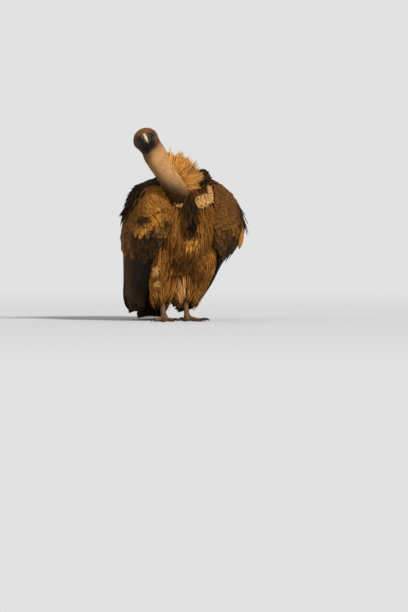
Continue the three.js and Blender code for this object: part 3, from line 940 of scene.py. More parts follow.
def make_trousers(form, side):
    """Long loose feathers that hang from the thigh round the shank, almost to the foot."""
    count, low, high = 330, 82, 200
    axis = sum(corners("tarsus_" + side)) / 2
    turn = RANDOM.uniform(0, 2 * math.pi, count)
    out = np.stack([np.cos(turn), np.sin(turn), np.zeros(count)], 1)
    height = RANDOM.uniform(low, high, count) * MM
    start = np.tile(axis, (count, 1)) + out * 60 * MM
    start[:, 2] = height
    start, normals = form.nearest(start)
    level = (start - axis) * (1, 1, 0)
    keep = ((unit(level) * out).sum(1) > 0.85) & (np.linalg.norm(level, axis=1) < 75 * MM)
    start, normals, out, height = start[keep], normals[keep], out[keep], height[keep]
    count = len(start)
    front = np.clip(-out[:, 1], 0, 1)
    tip = np.tile(axis, (count, 1)) + out * (RANDOM.uniform(13, 26, count) + 6 * (1 - front))[:, None] * MM
    tip[:, 2] = (26 + 26 * front + RANDOM.uniform(0, 34, count) + 0.32 * (height / MM - low)) * MM
    middle = 0.45 * start + 0.55 * tip + out * (7 * MM)
    steps = np.linspace(0, 1, 9)
    start = start - normals * 3 * MM
    spine = arcs([start, middle, tip], steps)
    widths = shaped(count, 0.25, keyed(LENS, steps), 4.6)
    tint, trim = plumage_and_shade((start + middle) / 2, np.full(count, FLESH_NODES.index("thigh_" + side)))
    pale = smooth(0.1, -0.7, out[:, 0]) * (side == "left") * smooth(0.4, -0.2, out[:, 1])
    tint, trim = mixed(tint, "buff", pale * 0.9), mixed(trim, "cream", pale * 0.8)
    tint = mixed(tint, "mantle", smooth(-0.2, 0.8, out[:, 1]) * 0.55)
    laid = spine, squared(spine, out[:, None]), unwrap_on(start, "thigh_" + side)
    make_feathers("trousers_" + side, laid, widths, toned(tint, 0.14), toned(trim, 0.12), "body",
                  "body_feathers", fray=0.25)


def make_down(form):
    """Soft woolly tufts on the neck and fine bristles on the head."""
    for kind, spacing, length, half, lift in (("neck", 2.15, 12, 0.85, 2.6), ("head", 1.35, 4.2, 0.3, 0.7)):
        roots = scatter(form, spacing, lambda p: (KINDS[node_at(p)] == kind))
        owners, normals = node_at(roots), form.nearest(roots)[1]
        ways = flow(roots, owners, normals)
        keep = (np.abs((ways * normals).sum(1)) < 0.85) & (rim_place(roots) > 2.1)
        roots, owners, ways = roots[keep], owners[keep], ways[keep]
        count, down = len(roots), from_head(roots, NECK_WAY)
        rise = np.tile(np.array([-0.6, 0.3, 0.8, 1]) * lift, (count, 1)) * jitter(count, 0.5)[:, None] * MM
        size = 1 - 0.6 * smooth(90, 35, down) if kind == "neck" else 1 + smooth(20, 50, down)
        lengths = length * MM * jitter(count, 0.3) * size
        laid = laid_on(form, roots, ways, lengths, rise * size[:, None], 0.25)
        widths = np.outer(jitter(count, 0.3) * size ** 0.5, [0.6, 1, 0.8, 0.1]) * half * MM
        tint, trim = plumage_and_shade(roots, owners)
        make_feathers(kind + "_down", laid, widths, toned(tint, 0.08), toned(trim, 0.08), "down",
                      kind + "_down", thickness=0.22, section=TUFT)


def make_mantle_tufts():
    """Ruffled dark feathers that arch over the mantle beside the ruff, as a small hump."""
    count = 150
    steps = np.linspace(0, 1, 8)
    middle, radii = BIRD + np.array([82, -22, 512]) * MM, np.array([32, 42, 48]) * MM
    across = np.radians(RANDOM.uniform(-95, 95, count))[:, None]
    along = np.radians(RANDOM.uniform(-85, 40, count)[:, None] + 58 * steps)
    up = np.stack([np.sin(across) * np.cos(along), np.sin(along), np.cos(across) * np.cos(along)], -1)
    lift = np.outer(RANDOM.uniform(0, 5, count), steps ** 2) + 5 * (steps - 0.7)
    spine = middle + up * radii + unit(up / radii) * lift[..., None] * MM
    widths = shaped(count, 0.2, keyed(LENS, steps), 6.5)
    tint = mixed("black", "mantle", RANDOM.random(count))
    trim = mixed(tint, "covert_edge", RANDOM.random(count) * 0.6)
    laid = spine, unit(up / radii), unwrap_on(spine[:, 0], "trunk")
    make_feathers("mantle_tufts", laid, widths, tint, trim, "body", "body_feathers", fray=0.25)


# ---------------------------------------------------------------------------------------------------------
# Skin, head and feet

EYE_RADIUS = (corners("eye_left")[1] - corners("eye_left")[0])[2] / 2
# How far from the middle of an eye its lids and the crease round them reach.
LID_REACH = 18 * MM
EYE_CENTRES = {side: centre("eye_" + side) for side in SIDES}
GAZE = {side: unit(0.5 * AHEAD + 0.86 * sign * LEFTWARD - 0.03 * UPWARD) for side, sign in SIDES.items()}


def lid_place(points, side):
    """How far points lie from the middle of an eye's opening: 1 is its rim, and 9 is behind the eye."""
    away = unit(points - EYE_CENTRES[side])
    level = unit(AHEAD - GAZE[side] * (AHEAD @ GAZE[side]) - 0.25 * UPWARD)
    upright = np.cross(level, GAZE[side]) * -SIDES[side]
    across, rise = away @ level / 0.72, away @ upright / 0.56
    return np.where(away @ GAZE[side] > 0, np.hypot(across, rise), 9)


def from_eye(points, side):
    """How far points lie from the middle of an eye, in metres."""
    return np.linalg.norm(points - EYE_CENTRES[side], axis=1)


def rim_place(points):
    """As lid_place for the nearer eye, for points that may lie anywhere."""
    places = [lid_place(points, side) + 9 * (from_eye(points, side) > LID_REACH) for side in SIDES]
    return np.min(places, axis=0)


def eye_distance(points):
    return np.min([from_eye(points, side) for side in SIDES], axis=0)


def set_lids(form):
    """Shapes the skin round each eyeball: an opening that shows the eye, two lids and a crease round them."""
    for side in SIDES:
        away = form.points - EYE_CENTRES[side]
        far = np.linalg.norm(away, axis=1)
        place = lid_place(form.points, side)
        rim = EYE_RADIUS + (1.7 - 1.1 * smooth(1.05, 1.75, place) + 1.6 * smooth(1.6, 2.4, place)) * MM
        target = np.where(place < 1, EYE_RADIUS - 3 * MM, np.where(place < 1.75, rim, np.maximum(rim, far)))
        hold = smooth(2.6, 1.9, place) * smooth(26 * MM, 20 * MM, far)
        form.points = form.points + away / far[:, None] * ((target - far) * hold)[:, None]
    rims = rim_place(form.points)
    form.relax(3, (smooth(0.7, 0.9, rims) * smooth(1.9, 1.5, rims))[:, None])


def head_relief(form, weight):
    """The brows, hollows, gape, ears and folds of the head and neck, as a height over the form."""
    ahead, left, up = in_head(form.points).T / MM
    side = np.abs(left)

    def bump(place, reach, height):
        away = np.sqrt(sum(((x - p) / r) ** 2 for x, p, r in zip((ahead, side, up), place, reach)))
        return height * smooth(1, 0, away)

    relief = bump((10, 28, 19), (22, 13, 9), 3.4) + bump((26, 20, 8), (12, 9, 10), -2.2)
    relief += bump((-10, 34, -14), (26, 16, 18), 2.0) + bump((-24, 40, 0), (7, 8, 7), -2.8)
    gape = np.abs(up + 9 + 0.16 * (30 - ahead)) * smooth(8, 14, ahead) + 9 * smooth(14, 8, ahead)
    relief -= 1.6 * smooth(3, 0, gape) * smooth(40, 30, ahead) * smooth(8, 16, ahead)
    folds = np.sin(up * 0.62 + 0.4 * np.sin(left * 0.2)) * smooth(-20, -34, up) * smooth(34, 8, ahead)
    relief += 0.5 * folds
    return relief * weight * MM


def scutes(points, scaly):
    """The grooves between the scales of the shanks and toes, from 0 to 1."""
    groove = np.zeros(len(points))
    for k in np.nonzero(scaly)[0]:
        near = noise.voronoi(Vector(points[k] / (5.2 * MM)))[0]
        groove[k] = 1 - min(1, (near[1] - near[0]) / 0.22)
    return groove


# The height, in metres, below which the wings' skin is drawn up.
WING_SKIN_END = 0.31


def make_skin():
    """One skin over all the flesh, a coat's depth inside it, finest round the eyes and on the feet."""
    cut = HEAD_CENTRE + 36 * MM * AHEAD
    stumps = [cut_short(node, cut, AHEAD) for node in BILL_NODES]
    form = remeshed(FLESH_NODES, 3.5, 6, more=stumps)
    # The head runs into the neck without a step.
    down = from_head(form.points, NECK_WAY)
    join = smooth(8, 26, down) * smooth(84, 60, down) * smooth(16, 4, in_head(form.points)[:, 0] / MM)
    form.points = mixed(form.points, form.spread(form.points, 60), join)
    form.refresh()
    far = np.linalg.norm(form.points - HEAD_CENTRE, axis=1)
    form.fill(240, smooth(110 * MM, 85 * MM, far) * smooth(16 * MM, 4 * MM, in_head(form.points)[:, 0]))
    # The head, shanks and feet are cut finer.
    form = refined(form, (in_head(form.points)[:, 0] > -70 * MM) & (far < 80 * MM), 2)
    low = form.points[:, 2] < 84 * MM
    form = refined(form, low & np.isin(KINDS[node_at(form.points)], ["foot", "tarsus"]), 2)
    weight = smooth(78 * MM, 62 * MM, np.linalg.norm(form.points - HEAD_CENTRE, axis=1))
    fine = np.maximum(weight, (KINDS[node_at(form.points)] == "foot") * 0.7)
    form.relax(16, form.spread(fine, 4)[:, None])
    # The skin lies a coat's depth inside the flesh.
    # The wings' thin lower ends are drawn up under their coverts.
    owners = node_at(form.points)
    depth = form.spread(DEPTH[owners] * MM, 12)
    winged = form.spread((KINDS[owners] == "wing").astype(float), 12)
    sides = np.sign((form.points - BIRD)[:, 0] - LEAN * form.points[:, 2])
    low = np.maximum(WING_SKIN_END - form.points[:, 2], 0) * 0.6 * winged
    drawn = np.stack([0.3 * sides * low, -0.5 * low, low], 1)
    form.points = form.points - form.normals * depth[:, None] + drawn
    form.refresh()
    form.points = form.points + form.normals * head_relief(form, weight)[:, None]
    form = refined(form, eye_distance(form.points) < 21 * MM, 1)
    form.relax(3, smooth(24 * MM, 18 * MM, eye_distance(form.points))[:, None])
    set_lids(form)
    owners = node_at(form.points)
    scaly = np.isin(KINDS[owners], ["tarsus", "foot"]).astype(float)
    groove = scutes(form.points, scaly)
    form.push(0.7 * MM * groove, -1)
    tint = form.spread(plumage_and_shade(form.points, owners)[0], 2)
    rims = rim_place(form.points)
    tint = mixed(mixed(tint, "skin", smooth(2.1, 1.4, rims) * 0.7), "black", smooth(1.25, 1.0, rims))
    add_piece("skin", form.points, form.faces, PAINTS["skin"], "leg_skin", FLESH_NODES, tint=tint,
              scaly=scaly, groove=groove)
    print("skin", len(form.faces), "triangles")
    return form


def make_eyes():
    """Dark brown eyes with a round pupil under a clear wet surface."""
    for side in SIDES:
        mesh = bmesh.new()
        bmesh.ops.create_icosphere(mesh, subdivisions=5, radius=EYE_RADIUS)
        points, faces = arrays(mesh)
        angle = np.degrees(np.arccos(np.clip(unit(points) @ GAZE[side], -1, 1)))
        tint = mixed(mixed("iris", "black", smooth(17, 14, angle)), "black", smooth(36, 41, angle) * 0.9)
        add_piece("eyeball_" + side, points + EYE_CENTRES[side], faces, PAINTS["eye"], "eye", ["eye_" + side],
                  tint=tint)


def make_bill():
    """The two halves of the bill: dark sides, a pale ridge, a soft cere with nostrils at the root."""
    for node in BILL_NODES:
        form = remeshed([node], 0.9, 30, grow=0.3)
        ahead, left, up = in_head(form.points).T / MM
        form.points = mixed(form.points, form.spread(form.points, 24), smooth(72, 58, ahead))
        form.refresh()
        facing = form.normals @ HEAD_AXES.T
        tint = plain("horn_dark", len(form.points))
        if node == "bill_upper":
            slit = np.hypot((ahead - 39 + 0.25 * (up - 10)) / 1.9, (up - 10) / 4.6)
            nostril = smooth(1.3, 0.5, slit) * (np.abs(left) > 5)
            slanted = ahead + 0.12 * up
            cere = smooth(45, 42.5, slanted)
            form.push(0.5 * cere - 2.4 * nostril - 0.5 * smooth(1.4, 0, np.abs(slanted - 44.5)))
            reach = 1.1 + 0.09 * (ahead - 44)
            ridge = smooth(0.3, 0.7, facing[:, 2] * 0.75 + facing[:, 0] * 0.66)
            ridge = ridge * smooth(reach + 1.6, reach - 0.8, np.abs(left))
            tint = mixed(tint, mixed("gold", "horn", smooth(50, 70, ahead)), ridge * smooth(40, 50, ahead))
            tint = mixed(mixed(tint, "cere", cere), "black", nostril)
        add_piece(node + "_horn", form.points, form.faces, PAINTS["bill"], "bill", [node], tint=tint)


def make_claws():
    """Blunt curved claws, dark and a little worn."""
    for node in [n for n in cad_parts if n.startswith("claw_")]:
        form = remeshed([node], 0.9, 8, grow=0.3)
        add_piece(node + "_horn", form.points, form.faces, PAINTS["claw"], "claw", [node],
                  tint=plain("claw", len(form.points)))


# ---------------------------------------------------------------------------------------------------------
# Wings

# The outer face of the left wing in millimetres, as in the part: lines from the shoulder to the wing tip,
# the first along the front edge and the last along the back.
WING_LINES = [
    [(88, -30, 506), (90, -62, 466), (84, -80, 405), (96, -76, 318),
     (138, -34, 222), (128, 62, 124), (106, 160, 40), (84, 296, 17)],
    [(112, -22, 510), (146, -60, 474), (168, -80, 405), (190, -54, 314),
     (156, 10, 216), (140, 100, 124), (114, 196, 48), (88, 306, 20)],
    [(118, 16, 520), (168, 20, 486), (212, 24, 415), (230, 44, 322),
     (190, 110, 235), (158, 160, 140), (120, 236, 62), (82, 322, 25)],
    [(100, 48, 536), (174, 92, 492), (210, 104, 424), (202, 132, 330),
     (172, 186, 240), (152, 232, 150), (124, 284, 72), (70, 334, 28)],
    [(58, 40, 552), (86, 104, 514), (86, 156, 430), (62, 194, 334),
     (38, 222, 240), (24, 258, 154), (20, 304, 82), (44, 344, 29)],
]
# How far each wing's middle stands out beyond those lines, from the shoulder to the tip.
SPLAY = {"left": [-12, -8, 6, 8, 6, 8, 12, 14], "right": [0, 6, -8, -8, 0, 2, 12, 24]}


class Wing:
    """One wing's outer face: s runs from the shoulder to the tip, and u from the front edge to the back."""

    def __init__(self, side):
        self.side = side
        self.s, self.u = np.linspace(0, 1, 121), np.linspace(0, 1, 81)
        lines = np.array([curve(line, self.s) for line in WING_LINES])
        grid = np.array([curve(lines[:, k], self.u) for k in range(len(self.s))])
        grid[..., 0] += keyed(SPLAY[side], self.s)[:, None] * np.sin(math.pi * self.u)
        grid[..., 0] = SIDES[side] * grid[..., 0] + LEAN * grid[..., 2]
        self.grid = grid * MM + BIRD
        run = np.gradient(self.grid, self.s, axis=0)
        self.pace = np.linalg.norm(run, axis=-1)
        self.width = np.linalg.norm(np.diff(self.grid, axis=1), axis=-1).sum(1)
        self.outward = unit(np.cross(run, np.gradient(self.grid, axis=1))) * SIDES[side]

    def read(self, table, s, u):
        """A table's values at some s and u."""
        i, j = np.clip(s, 0, 0.99999) * (len(self.s) - 1), np.clip(u, 0, 0.99999) * (len(self.u) - 1)
        a, b = i.astype(int), j.astype(int)
        shape = (-1,) + (1,) * (table.ndim - 2)
        i, j = (i - a).reshape(shape), (j - b).reshape(shape)
        return ((table[a, b] * (1 - i) + table[a + 1, b] * i) * (1 - j)
                + (table[a, b + 1] * (1 - i) + table[a + 1, b + 1] * i) * j)

    def staggered(self, rows, spacing, low=0.0, high=1.0):
        """Roots in staggered rows across the wing, about as many millimetres apart as `spacing`."""
        pairs = []
        for k, s in enumerate(rows):
            width = np.interp(s, self.s, self.width) * (high - low)
            count = max(2, round(width / (spacing * MM)))
            u = low + (np.arange(count) + 0.5 + 0.25 * (-1) ** k) / count * (high - low)
            pairs.append((np.full(count, float(s)), np.clip(u, 0.005, 0.995)))
        return np.concatenate([p[0] for p in pairs]), np.concatenate([p[1] for p in pairs])

    def lay(self, s, u, end_s, end_u, lift):
        """Feathers that run straight over the sheet from their roots to their ends."""
        rows = lift.shape[1]
        steps = np.linspace(0, 1, rows)
        s, u = s[:, None] + (end_s - s)[:, None] * steps, u[:, None] + (end_u - u)[:, None] * steps
        spots, up = (self.read(table, s.ravel(), u.ravel()).reshape(-1, rows, 3)
                     for table in (self.grid, self.outward))
        up = unit(up)
        spine = spots + up * lift[..., None]
        return spine, up, unwrap_on(spots[:, 0], "wing_" + self.side)

    def faces(self):
        """The quads of the sheet, row by row."""
        rows, columns = len(self.s), len(self.u)
        first = (np.arange(rows - 1)[:, None] * columns + np.arange(columns - 1)).ravel()
        return np.stack([first, first + 1, first + columns + 1, first + columns], 1)


def make_covert_layer(wing, name, s, u, length, half, keys, coat, paint, lift=(-5, 0.8), tilt=5, drift=0.0):
    """One layer of small wing feathers of about the same size."""
    count, steps = len(s), np.linspace(0, 1, 9)
    s = s + RANDOM.normal(0, 0.004, count)
    u = np.clip(u + RANDOM.normal(0, 0.003, count), 0.003, 0.997)
    lengths = length * MM * jitter(count, 0.18)
    end_s = np.clip(s + lengths / wing.read(wing.pace, s, u), 0, 0.995)
    end_u = np.clip(u + drift + RANDOM.normal(0, 0.01, count), 0.003, 0.997)
    rise = lifted(count, [lift[0], lift[0] * 0.45, lift[0] * 0.1, lift[1]], steps)
    rise += np.outer(RANDOM.uniform(-0.8, 1.4, count), steps ** 2) * MM
    laid = wing.lay(s, u, end_s, end_u, rise)
    widths = shaped(count, 0.1, keyed(keys, steps), half)
    make_feathers(f"{name}_{wing.side}", laid, widths, *coat, paint, "wing_coverts", section=BROAD,
                  tilt=tilt * SIDES[wing.side], fray=0.1)


# Marks on the wings: s and u as seen, how far they reach along each, their colour and strength.
WING_MARKS = {
    # On the right wing the large gold mark is painted highlight on the lit bulge of the lesser coverts, and
    # the black marks are painted shade: in the gap and along the line between lesser and median coverts, and
    # where the wing meets the body.
    "right": [(0.16, 0.2, 0.23, 0.32, "gold", 0.8), (0.04, 0.3, 0.07, 0.4, "covert", 0.6),
              (0.03, 0.32, 0.05, 0.2, "mantle", 0.9), (0.52, 0.5, 0.14, 0.22, "back", 1),
              (0.34, 0.12, 0.07, 0.2, "gold", 0.7), (0.4, 0.6, 0.25, 0.22, "back", 0.8),
              (0.5, 0.08, 0.1, 0.17, "black", 0.8), (0.41, 0.27, 0.045, 0.11, "breast_pale", 1),
              (0.353, 0.31, 0.036, 0.11, "black", 1), (0.335, 0.24, 0.018, 0.05, "black", 1),
              (0.318, 0.2, 0.013, 0.045, "black", 0.9), (0.302, 0.165, 0.012, 0.04, "black", 0.9),
              (0.286, 0.13, 0.011, 0.04, "black", 0.9), (0.27, 0.1, 0.01, 0.035, "black", 0.8),
              (0.37, 0.03, 0.05, 0.05, "black", 0.9), (0.42, 0.12, 0.025, 0.08, "black", 0.9)],
    "left": [(0.15, 0.3, 0.2, 0.4, "russet", 0.5), (0.05, 0.4, 0.1, 0.5, "russet", 0.8),
             (0.41, 0.1, 0.025, 0.07, "black", 0.9), (0.32, 0.46, 0.14, 0.3, "black", 1),
             (0.5, 0.2, 0.1, 0.32, "mantle", 0.9)],
}
# How far along its length a covert shows from under the ones above it, on average.
SEEN_AT = 0.87


def covert_colours(wing, s, u, length, inner, edge_share, amount):
    """The colours of coverts rooted at s and u, as marked where they are seen, and those of their edges; a
    dark band and some marks hold painted shade, and on the right wing a painted highlight.
    """
    seen = s + SEEN_AT * length * MM / wing.read(wing.pace, s, u)
    tint = plain(inner, len(s))
    for mark_s, mark_u, reach_s, reach_u, colour, strength in WING_MARKS[wing.side]:
        away = np.hypot((seen - mark_s) / reach_s, (u - mark_u) / reach_u)
        tint = mixed(tint, colour, smooth(1, 0.4, away) * strength)
    spots = wing.read(wing.grid, s, u)
    bright = 0.4 * ripple(spots, (26, 26, 60)) + 0.25 * ripple(spots, (70, 70, 70), 4.2)
    tint = tint * np.exp(bright)[:, None]
    trim = mixed(tint, "covert_edge", edge_share)
    # Painted shade over the back part of the wing, under the scapulars: full on the right wing, which is
    # turned from the light, a third as strong on the left.
    dark = smooth(0.34, 0.46, u - 0.9 * s) * smooth(0.95, 0.75, u) * {"right": 1, "left": 0.3}[wing.side]
    tint, trim = mixed(tint, "black", dark * 0.9), mixed(trim, "mantle", dark)
    return toned(tint, amount), toned(trim, amount * 0.7)


def make_coverts(wing):
    """Small coverts over the arm, then medians and long greater coverts over the flight feathers."""
    dark = {"right": "greater", "left": "back"}[wing.side]
    for name, rows, spacing, stray, length, half, keys, inner, edge_share, amount, paint, lift, tilt in (
            ("lesser", np.arange(0.005, 0.315, 0.013), 9.6, 0, 35, 7.2, SOFT_TIP, "covert", 0.28, 0.15,
             "covert", (-5, 0.8), 5),
            ("median", [0.3, 0.32, 0.34, 0.36], 14, 0.012, 50, 8.6, ROUND_TIP, "covert", 0.6, 0.15,
             "covert", (-6, 1.5), 5),
            ("greater", [0.36, 0.385, 0.41], 16, 0.013, 98, 9.5, BLUNT_TIP, dark, 0.55, 0.4,
             "greater", (-7, 1.5), 6)):
        s, u = wing.staggered(rows, spacing)
        if stray:
            s = s + RANDOM.normal(0, stray, len(s))
        coat = covert_colours(wing, s, u, length, inner, edge_share, amount)
        make_covert_layer(wing, name + "_coverts", s, u, length, half, keys, coat, paint, lift, tilt)


def make_scapulars(wing):
    """Long dark feathers that fall from the shoulder over the back of the wing, with loose tips: near black
    as painted shade on the right wing, mostly brown on the left.
    """
    s, u = wing.staggered([0.0, 0.02, 0.045, 0.07, 0.1, 0.13, 0.16, 0.19, 0.22], 14, 0.32)
    keep = u > {"right": 0.36, "left": 0.5}[wing.side] + 0.9 * s
    s, u = s[keep], u[keep]
    # Near black here is painted shade on the right wing; on the left the scapulars are mostly brown, their
    # own colour.
    dark_and_painted_shade = mixed("black", "mantle", RANDOM.random(len(s)) * 0.8)
    brown = 1 if wing.side == "left" else smooth(0.68, 0.84, u)
    dark_and_painted_shade = mixed(dark_and_painted_shade, "back", brown * 0.7)
    make_covert_layer(wing, "scapulars", s, u, 92, 9, LONG_TIP, (toned(dark_and_painted_shade, 0.2), toned(dark_and_painted_shade * 1.7, 0.2)),
                      "greater", lift=(-4, 7), drift={"right": 0.0, "left": 0.02}[wing.side])


# Feathers that stand off the wing's outline: s, u, length, half width, how far the tip is lifted, colour.
LOOSE = {
    # On the right wing the black and near-black feathers along the top are painted shade.
    "right": [(0.08, 0.5, 80, 8, 12, "black"), (0.12, 0.54, 86, 8, 16, "black"),
              (0.16, 0.58, 86, 8, 21, "black"), (0.18, 0.6, 84, 8, 22, "black"),
              (0.205, 0.62, 76, 8, 20, "black"), (0.225, 0.64, 66, 8, 12, "mantle"),
              (0.05, 0.47, 80, 8, 12, "black"), (0.33, 0.64, 100, 9, 6, "back"),
              (0.38, 0.6, 110, 9, 5, "back")],
    "left": [(0.16, 0.3, 66, 7, 7, "mantle"), (0.2, 0.36, 74, 8, 12, "black"),
             (0.22, 0.3, 70, 8, 10, "mantle"), (0.24, 0.4, 84, 8, 16, "black"),
             (0.26, 0.34, 80, 8, 14, "black"), (0.28, 0.42, 88, 8, 18, "black"),
             (0.3, 0.37, 84, 8, 15, "mantle"), (0.26, 0.25, 76, 8, 8, "mantle"),
             (0.36, 0.43, 92, 10, 10, "greater"), (0.365, 0.27, 84, 11, 17, "breast_pale"),
             (0.4, 0.37, 96, 10, 8, "covert"), (0.4, 0.32, 110, 9, 9, "greater"),
             (0.41, 0.25, 112, 9, 8, "mantle"), (0.39, 0.17, 104, 9, 7, "greater")],
}


def make_loose_feathers(wing):
    """Pointed feathers whose tips break the wing's outline. The pale one is turned towards the front. On the
    right wing the dark ones along the top are painted shade.
    """
    steps = np.linspace(0, 1, 10)
    s, u, length, half, raised = (np.array([row[k] for row in LOOSE[wing.side]]) for k in range(5))
    colours = [row[5] for row in LOOSE[wing.side]]
    end_s = s + length * MM / wing.read(wing.pace, s, u)
    rise = -3 + np.outer(raised + 3, steps ** 2)
    tint = np.array([COLOURS[colour] for colour in colours])
    tilt = np.array([52 if colour == "breast_pale" else 4 for colour in colours]) * SIDES[wing.side]
    widths = half[:, None] * keyed(LONG_TIP, steps) * MM
    trim = mixed(tint, "covert_edge", 0.25)
    make_feathers("loose_feathers_" + wing.side, wing.lay(s, u, end_s, u, rise * MM), widths, tint, trim,
                  "greater", "wing_coverts", thickness=0.8, section=BROAD, tilt=tilt)


def make_flight_feathers(wing):
    """Long dark feathers: the primaries reach the wing tip and the secondaries lie over them. Painted shade
    makes them near black towards the front edge, and a painted highlight lightens a strip across them.
    """
    node = "flight_feathers_" + wing.side
    steps = np.linspace(0, 1, 18)
    u = np.linspace(0.03, 0.97, 15)
    tips = keyed([0.94, 1, 1, 0.98, 0.93], u) - 0.012 * (np.arange(len(u)) % 2)
    primaries = (u, 0.5, tips, u * 0.94 + 0.03, 17, -8, LONG_TIP)
    u = np.linspace(0.06, 0.96, 17)
    tips = keyed([0.86, 0.84, 0.83, 0.86, 0.88], u) - 0.01 * RANDOM.random(len(u))
    secondaries = (u, 0.46, tips, u, 19, -4, BLUNT_TIP)
    banks = []
    for u, s, end_s, end_u, half, sink, keys in (primaries, secondaries):
        rise = float(sink) + np.outer(RANDOM.uniform(-1, 1, len(u)), steps)
        laid = wing.lay(np.full(len(u), s), u, end_s, end_u, rise * MM)
        banks.append((*laid, shaped(len(u), 0.05, keyed(keys, steps), half), u))
    *laid, widths, u = (np.concatenate(parts) for parts in zip(*banks))
    # Painted shade: near black towards the front edge, where the wing lies against the body.
    tint = mixed("flight", "black", smooth(0.35, 0.1, u))
    # Painted highlight: a lighter strip across the middle of the folded feathers.
    tint = mixed(tint, "flight_edge_and_painted_light", smooth(0.3, 0.5, u) * smooth(0.9, 0.6, u) * 0.5)
    trim = mixed(tint, "flight_edge_and_painted_light", 0.6)
    make_feathers(node + "_vanes", laid, widths, toned(tint, 0.1), toned(trim, 0.1), "flight",
                  "flight_feathers", thickness=1.1, section=BROAD, droop=0.1, tilt=5 * SIDES[wing.side],
                  fray=0.04, replaced=[node])


def make_wing_lining(wing, form):
    """Soft brown feathers round the wing's edges, over its root and over its inner face; on the right wing
    the high ones are near black as painted shade.
    """
    sheet = BVHTree.FromPolygons(wing.grid.reshape(-1, 3).tolist(), wing.faces().tolist())

    def chosen(points):
        found = [sheet.find_nearest(point) for point in points.tolist()]
        away = np.array([hit[3] for hit in found])
        line = np.array([hit[2] for hit in found]) // (len(wing.u) - 1)
        return ((away > 5 * MM) | (line < 5)) & (form.nearest(points)[1][:, 2] > -0.45)

    roots = scatter(form, 10, chosen)
    count, steps = len(roots), np.linspace(0, 1, 7)
    flat = smooth(0.35, 0.6, form.nearest(roots)[1][:, 2])
    lengths = 40 * MM * jitter(count, 0.2) * (1 - 0.35 * flat)
    ways = np.tile(unit(np.array([0, 0.25, -1.0])), (count, 1))
    laid = laid_on(form, roots, ways, lengths, lifted(count, [-4, -2, -0.5, 0.5], steps), 0.15)
    # A feather that would curl round the wing's edge or stand up is left out.
    root, tip = laid[0][:, 0], laid[0][:, -1]
    straight = np.linalg.norm(tip - root, axis=1) > (0.8 - 0.25 * flat) * lengths
    falling = ((root - tip)[:, 2] > 0.3 * lengths) | (flat > 0.4)
    laid = [values[straight & falling] for values in laid]
    count = len(laid[0])
    widths = shaped(count, 0.2, keyed(ROUND_TIP, steps), 8)
    # On the right wing the high feathers turn near black as painted shade; on the left they turn russet,
    # their own colour.
    high = smooth(0.43, 0.49, laid[0][:, 0, 2])
    tint = mixed("back", {"right": "black", "left": "russet"}[wing.side], high)
    trim = mixed("breast_pale", tint * 1.6, 0.2 + 0.8 * high)
    make_feathers("wing_lining_" + wing.side, laid, widths, toned(tint, 0.2), toned(trim, 0.2), "body",
                  "wing_coverts")


# ---------------------------------------------------------------------------------------------------------
# Ruff and tail

RUFF_CENTRE = BIRD + np.array([-19, -46, 524]) * MM
RUFF_OUTER = unit(np.array([0.74, -0.24, 0.62]))
RUFF_UP = np.array([-0.56, 0.34, 0.76])
RUFF_UP = unit(RUFF_UP - RUFF_OUTER * (RUFF_UP @ RUFF_OUTER))
RUFF_REAR = -np.cross(RUFF_OUTER, RUFF_UP)


def make_ruff():
    """A brush of long pointed feathers from a line up the back and left of the neck, gathered into spikes."""
    count, steps = 900, np.linspace(0, 1, 11)
    turn = RANDOM.uniform(-78, 76, count)
    depth = RANDOM.uniform(0, 1, count) ** 1.3
    teeth = np.linspace(-74, 72, 21)
    tooth = teeth[np.abs(turn[:, None] - teeth).argmin(1)]
    tip_turn = tooth + 0.3 * (turn - tooth) + RANDOM.normal(0, 1.6, count)
    reach = keyed([86, 95, 100, 110, 120], (tip_turn + 66) / 134) * MM
    spike = RANDOM.uniform(-0.15, 0.06, len(teeth))[np.searchsorted(teeth, tooth)]
    reach = reach * (1 - 0.3 * depth + spike) * (1 - 0.42 * RANDOM.random(count) ** 2)
    tip_turn = np.radians(tip_turn)
    tip = np.cos(tip_turn)[:, None] * RUFF_OUTER + np.sin(tip_turn)[:, None] * RUFF_UP
    tip = tip * reach[:, None] + RUFF_REAR * (2 + 54 * depth)[:, None] * MM
    rank = turn[:, None] / 76
    start = RUFF_UP * rank * 52 * MM - RUFF_OUTER * (2 + 5 * rank ** 2) * MM
    start = start + RUFF_REAR * (depth[:, None] * 30 + 2) * MM
    bulge = (1 - depth[:, None]) * np.sin(math.pi * steps) * 13 * MM
    spine = start[:, None] + (tip - start)[:, None] * steps[:, None]
    spine = RUFF_CENTRE + spine - RUFF_REAR * bulge[..., None]
    spine = spine + RUFF_UP * (np.sin(math.pi * steps) * RANDOM.normal(0, 3, count)[:, None])[..., None] * MM
    places = unwrap_on(spine[:, 0], "neck") + np.stack([turn / 60, depth], 1) * 0.05
    widths = shaped(count, 0.3, keyed([0.5, 0.95, 1, 0.9, 0.7, 0.4, 0.06], steps), 3.7)
    tint = mixed(mixed("ruff", "breast", depth * 0.35), "gold", smooth(0.2, -0.9, rank[:, 0]) * 0.4)
    tint = tint * np.exp(0.3 * np.sin(tooth * 1.7))[:, None]
    make_feathers("ruff_feathers", (spine, squared(spine, -RUFF_REAR), places), widths, toned(tint, 0.14),
                  toned(mixed(tint, "ruff_tip", 0.6), 0.1), "ruff", "ruff_feathers", fray=0.2,
                  replaced=["ruff"])


# Square to the tail's upper face.
TAIL_UP = np.array([0, 0.75, 0.66])


def tail_lay(root, middle, tip, up, steps, share, place):
    """Tail feathers through three stations in millimetres, leaning with the bird."""
    for station in (root, middle, tip):
        station[:, 0] += LEAN * station[:, 2]
    spine = arcs([root, middle, tip], steps) * MM + BIRD
    return spine, squared(spine, up), np.stack([0.1 + 0.8 * (share + 1) / 2, place], 1)


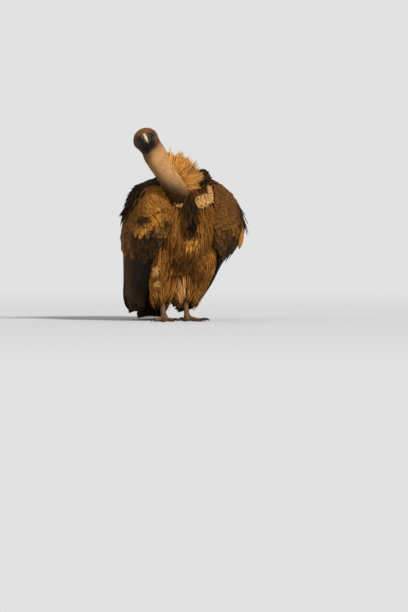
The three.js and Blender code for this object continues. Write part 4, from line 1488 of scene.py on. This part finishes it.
def make_tail():
    """Twelve broad tail feathers, spread a little and resting on the ground."""
    count, steps = 12, np.linspace(0, 1, 14)
    share = np.linspace(-1, 1, count)
    sag = 10 * share ** 2
    root = np.stack([share * 22, 160 - sag, 232 - sag], 1)
    tip = np.stack([-14 + share * 44, 352 - 2 * sag, 4.5 - 0.3 * sag], 1)
    spine, up, places = tail_lay(root, (root + tip) / 2 + (0, 5, 5), tip, unit(TAIL_UP), steps, share,
                                 np.full(count, 0.5))
    spine = spine + up * (1.5 * (1 - np.abs(share)))[:, None, None] * MM
    widths = np.outer(np.ones(count), keyed([0.35, 0.8, 0.95, 1, 1, 0.95, 0.6], steps)) * 19 * MM
    make_feathers("tail_feathers", (spine, up, places), widths, toned(plain("flight", count), 0.1),
                  toned(plain("flight_edge_and_painted_light", count), 0.1), "flight", "flight_feathers", thickness=1.2,
                  section=BROAD, droop=0.1, fray=0.06, replaced=["tail"])


def make_tail_coverts():
    """Two banks of soft brown feathers over and under the root of the tail."""
    count, steps = 46, np.linspace(0, 1, 9)
    for name, height, depth, length, side in (("upper", 250, 150, 120, 1), ("under", 205, 128, 105, -1)):
        share = RANDOM.uniform(-1, 1, count)
        rank = RANDOM.uniform(0, 1, count)
        back, rise = depth + 60 * rank - 16 * share ** 2, height - 66 * rank - 8 * share ** 2
        root = np.stack([share * 40, back, rise], 1)
        way = unit(np.stack([share * 0.16, np.full(count, 0.66), np.full(count, -0.76)], 1))
        out = unit(TAIL_UP * side)
        tip = root + way * (length * jitter(count, 0.2))[:, None] - out * 6
        laid = tail_lay(root, (root + tip) / 2 + out * 6, tip, out, steps, share, 0.3 + 0.2 * rank)
        widths = shaped(count, 0.15, keyed(ROUND_TIP, steps), 13)
        tint = toned(plain("back", count), 0.2)
        make_feathers(f"{name}_tail_coverts", laid, widths, tint, mixed(tint, "covert_edge", 0.7), "covert",
                      "body_feathers", thickness=0.8, section=BROAD)


# ---------------------------------------------------------------------------------------------------------
# The whole bird

make_stage()
make_lamp("key", 22, 38, 2.9, 10)
make_lamp("fill", -75, 20, 0.3, 40)
make_camera()
bpy.context.scene.view_settings.view_transform = "Standard"

body_form = remeshed(BODY_NODES, 4.5, 6)
fold(body_form)
wing_forms = {side: remeshed(["wing_" + side], 5, 4) for side in SIDES}
skin = make_skin()
make_eyes()
make_bill()
make_claws()
make_body_feathers(body_form, list(wing_forms.values()))
make_cream_down(body_form)
make_mantle_tufts()
make_down(skin)
for side in SIDES:
    make_trousers(body_form, side)
    wing = Wing(side)
    make_coverts(wing)
    make_scapulars(wing)
    make_loose_feathers(wing)
    make_flight_feathers(wing)
    make_wing_lining(wing, wing_forms[side])
make_ruff()
make_tail()
make_tail_coverts()
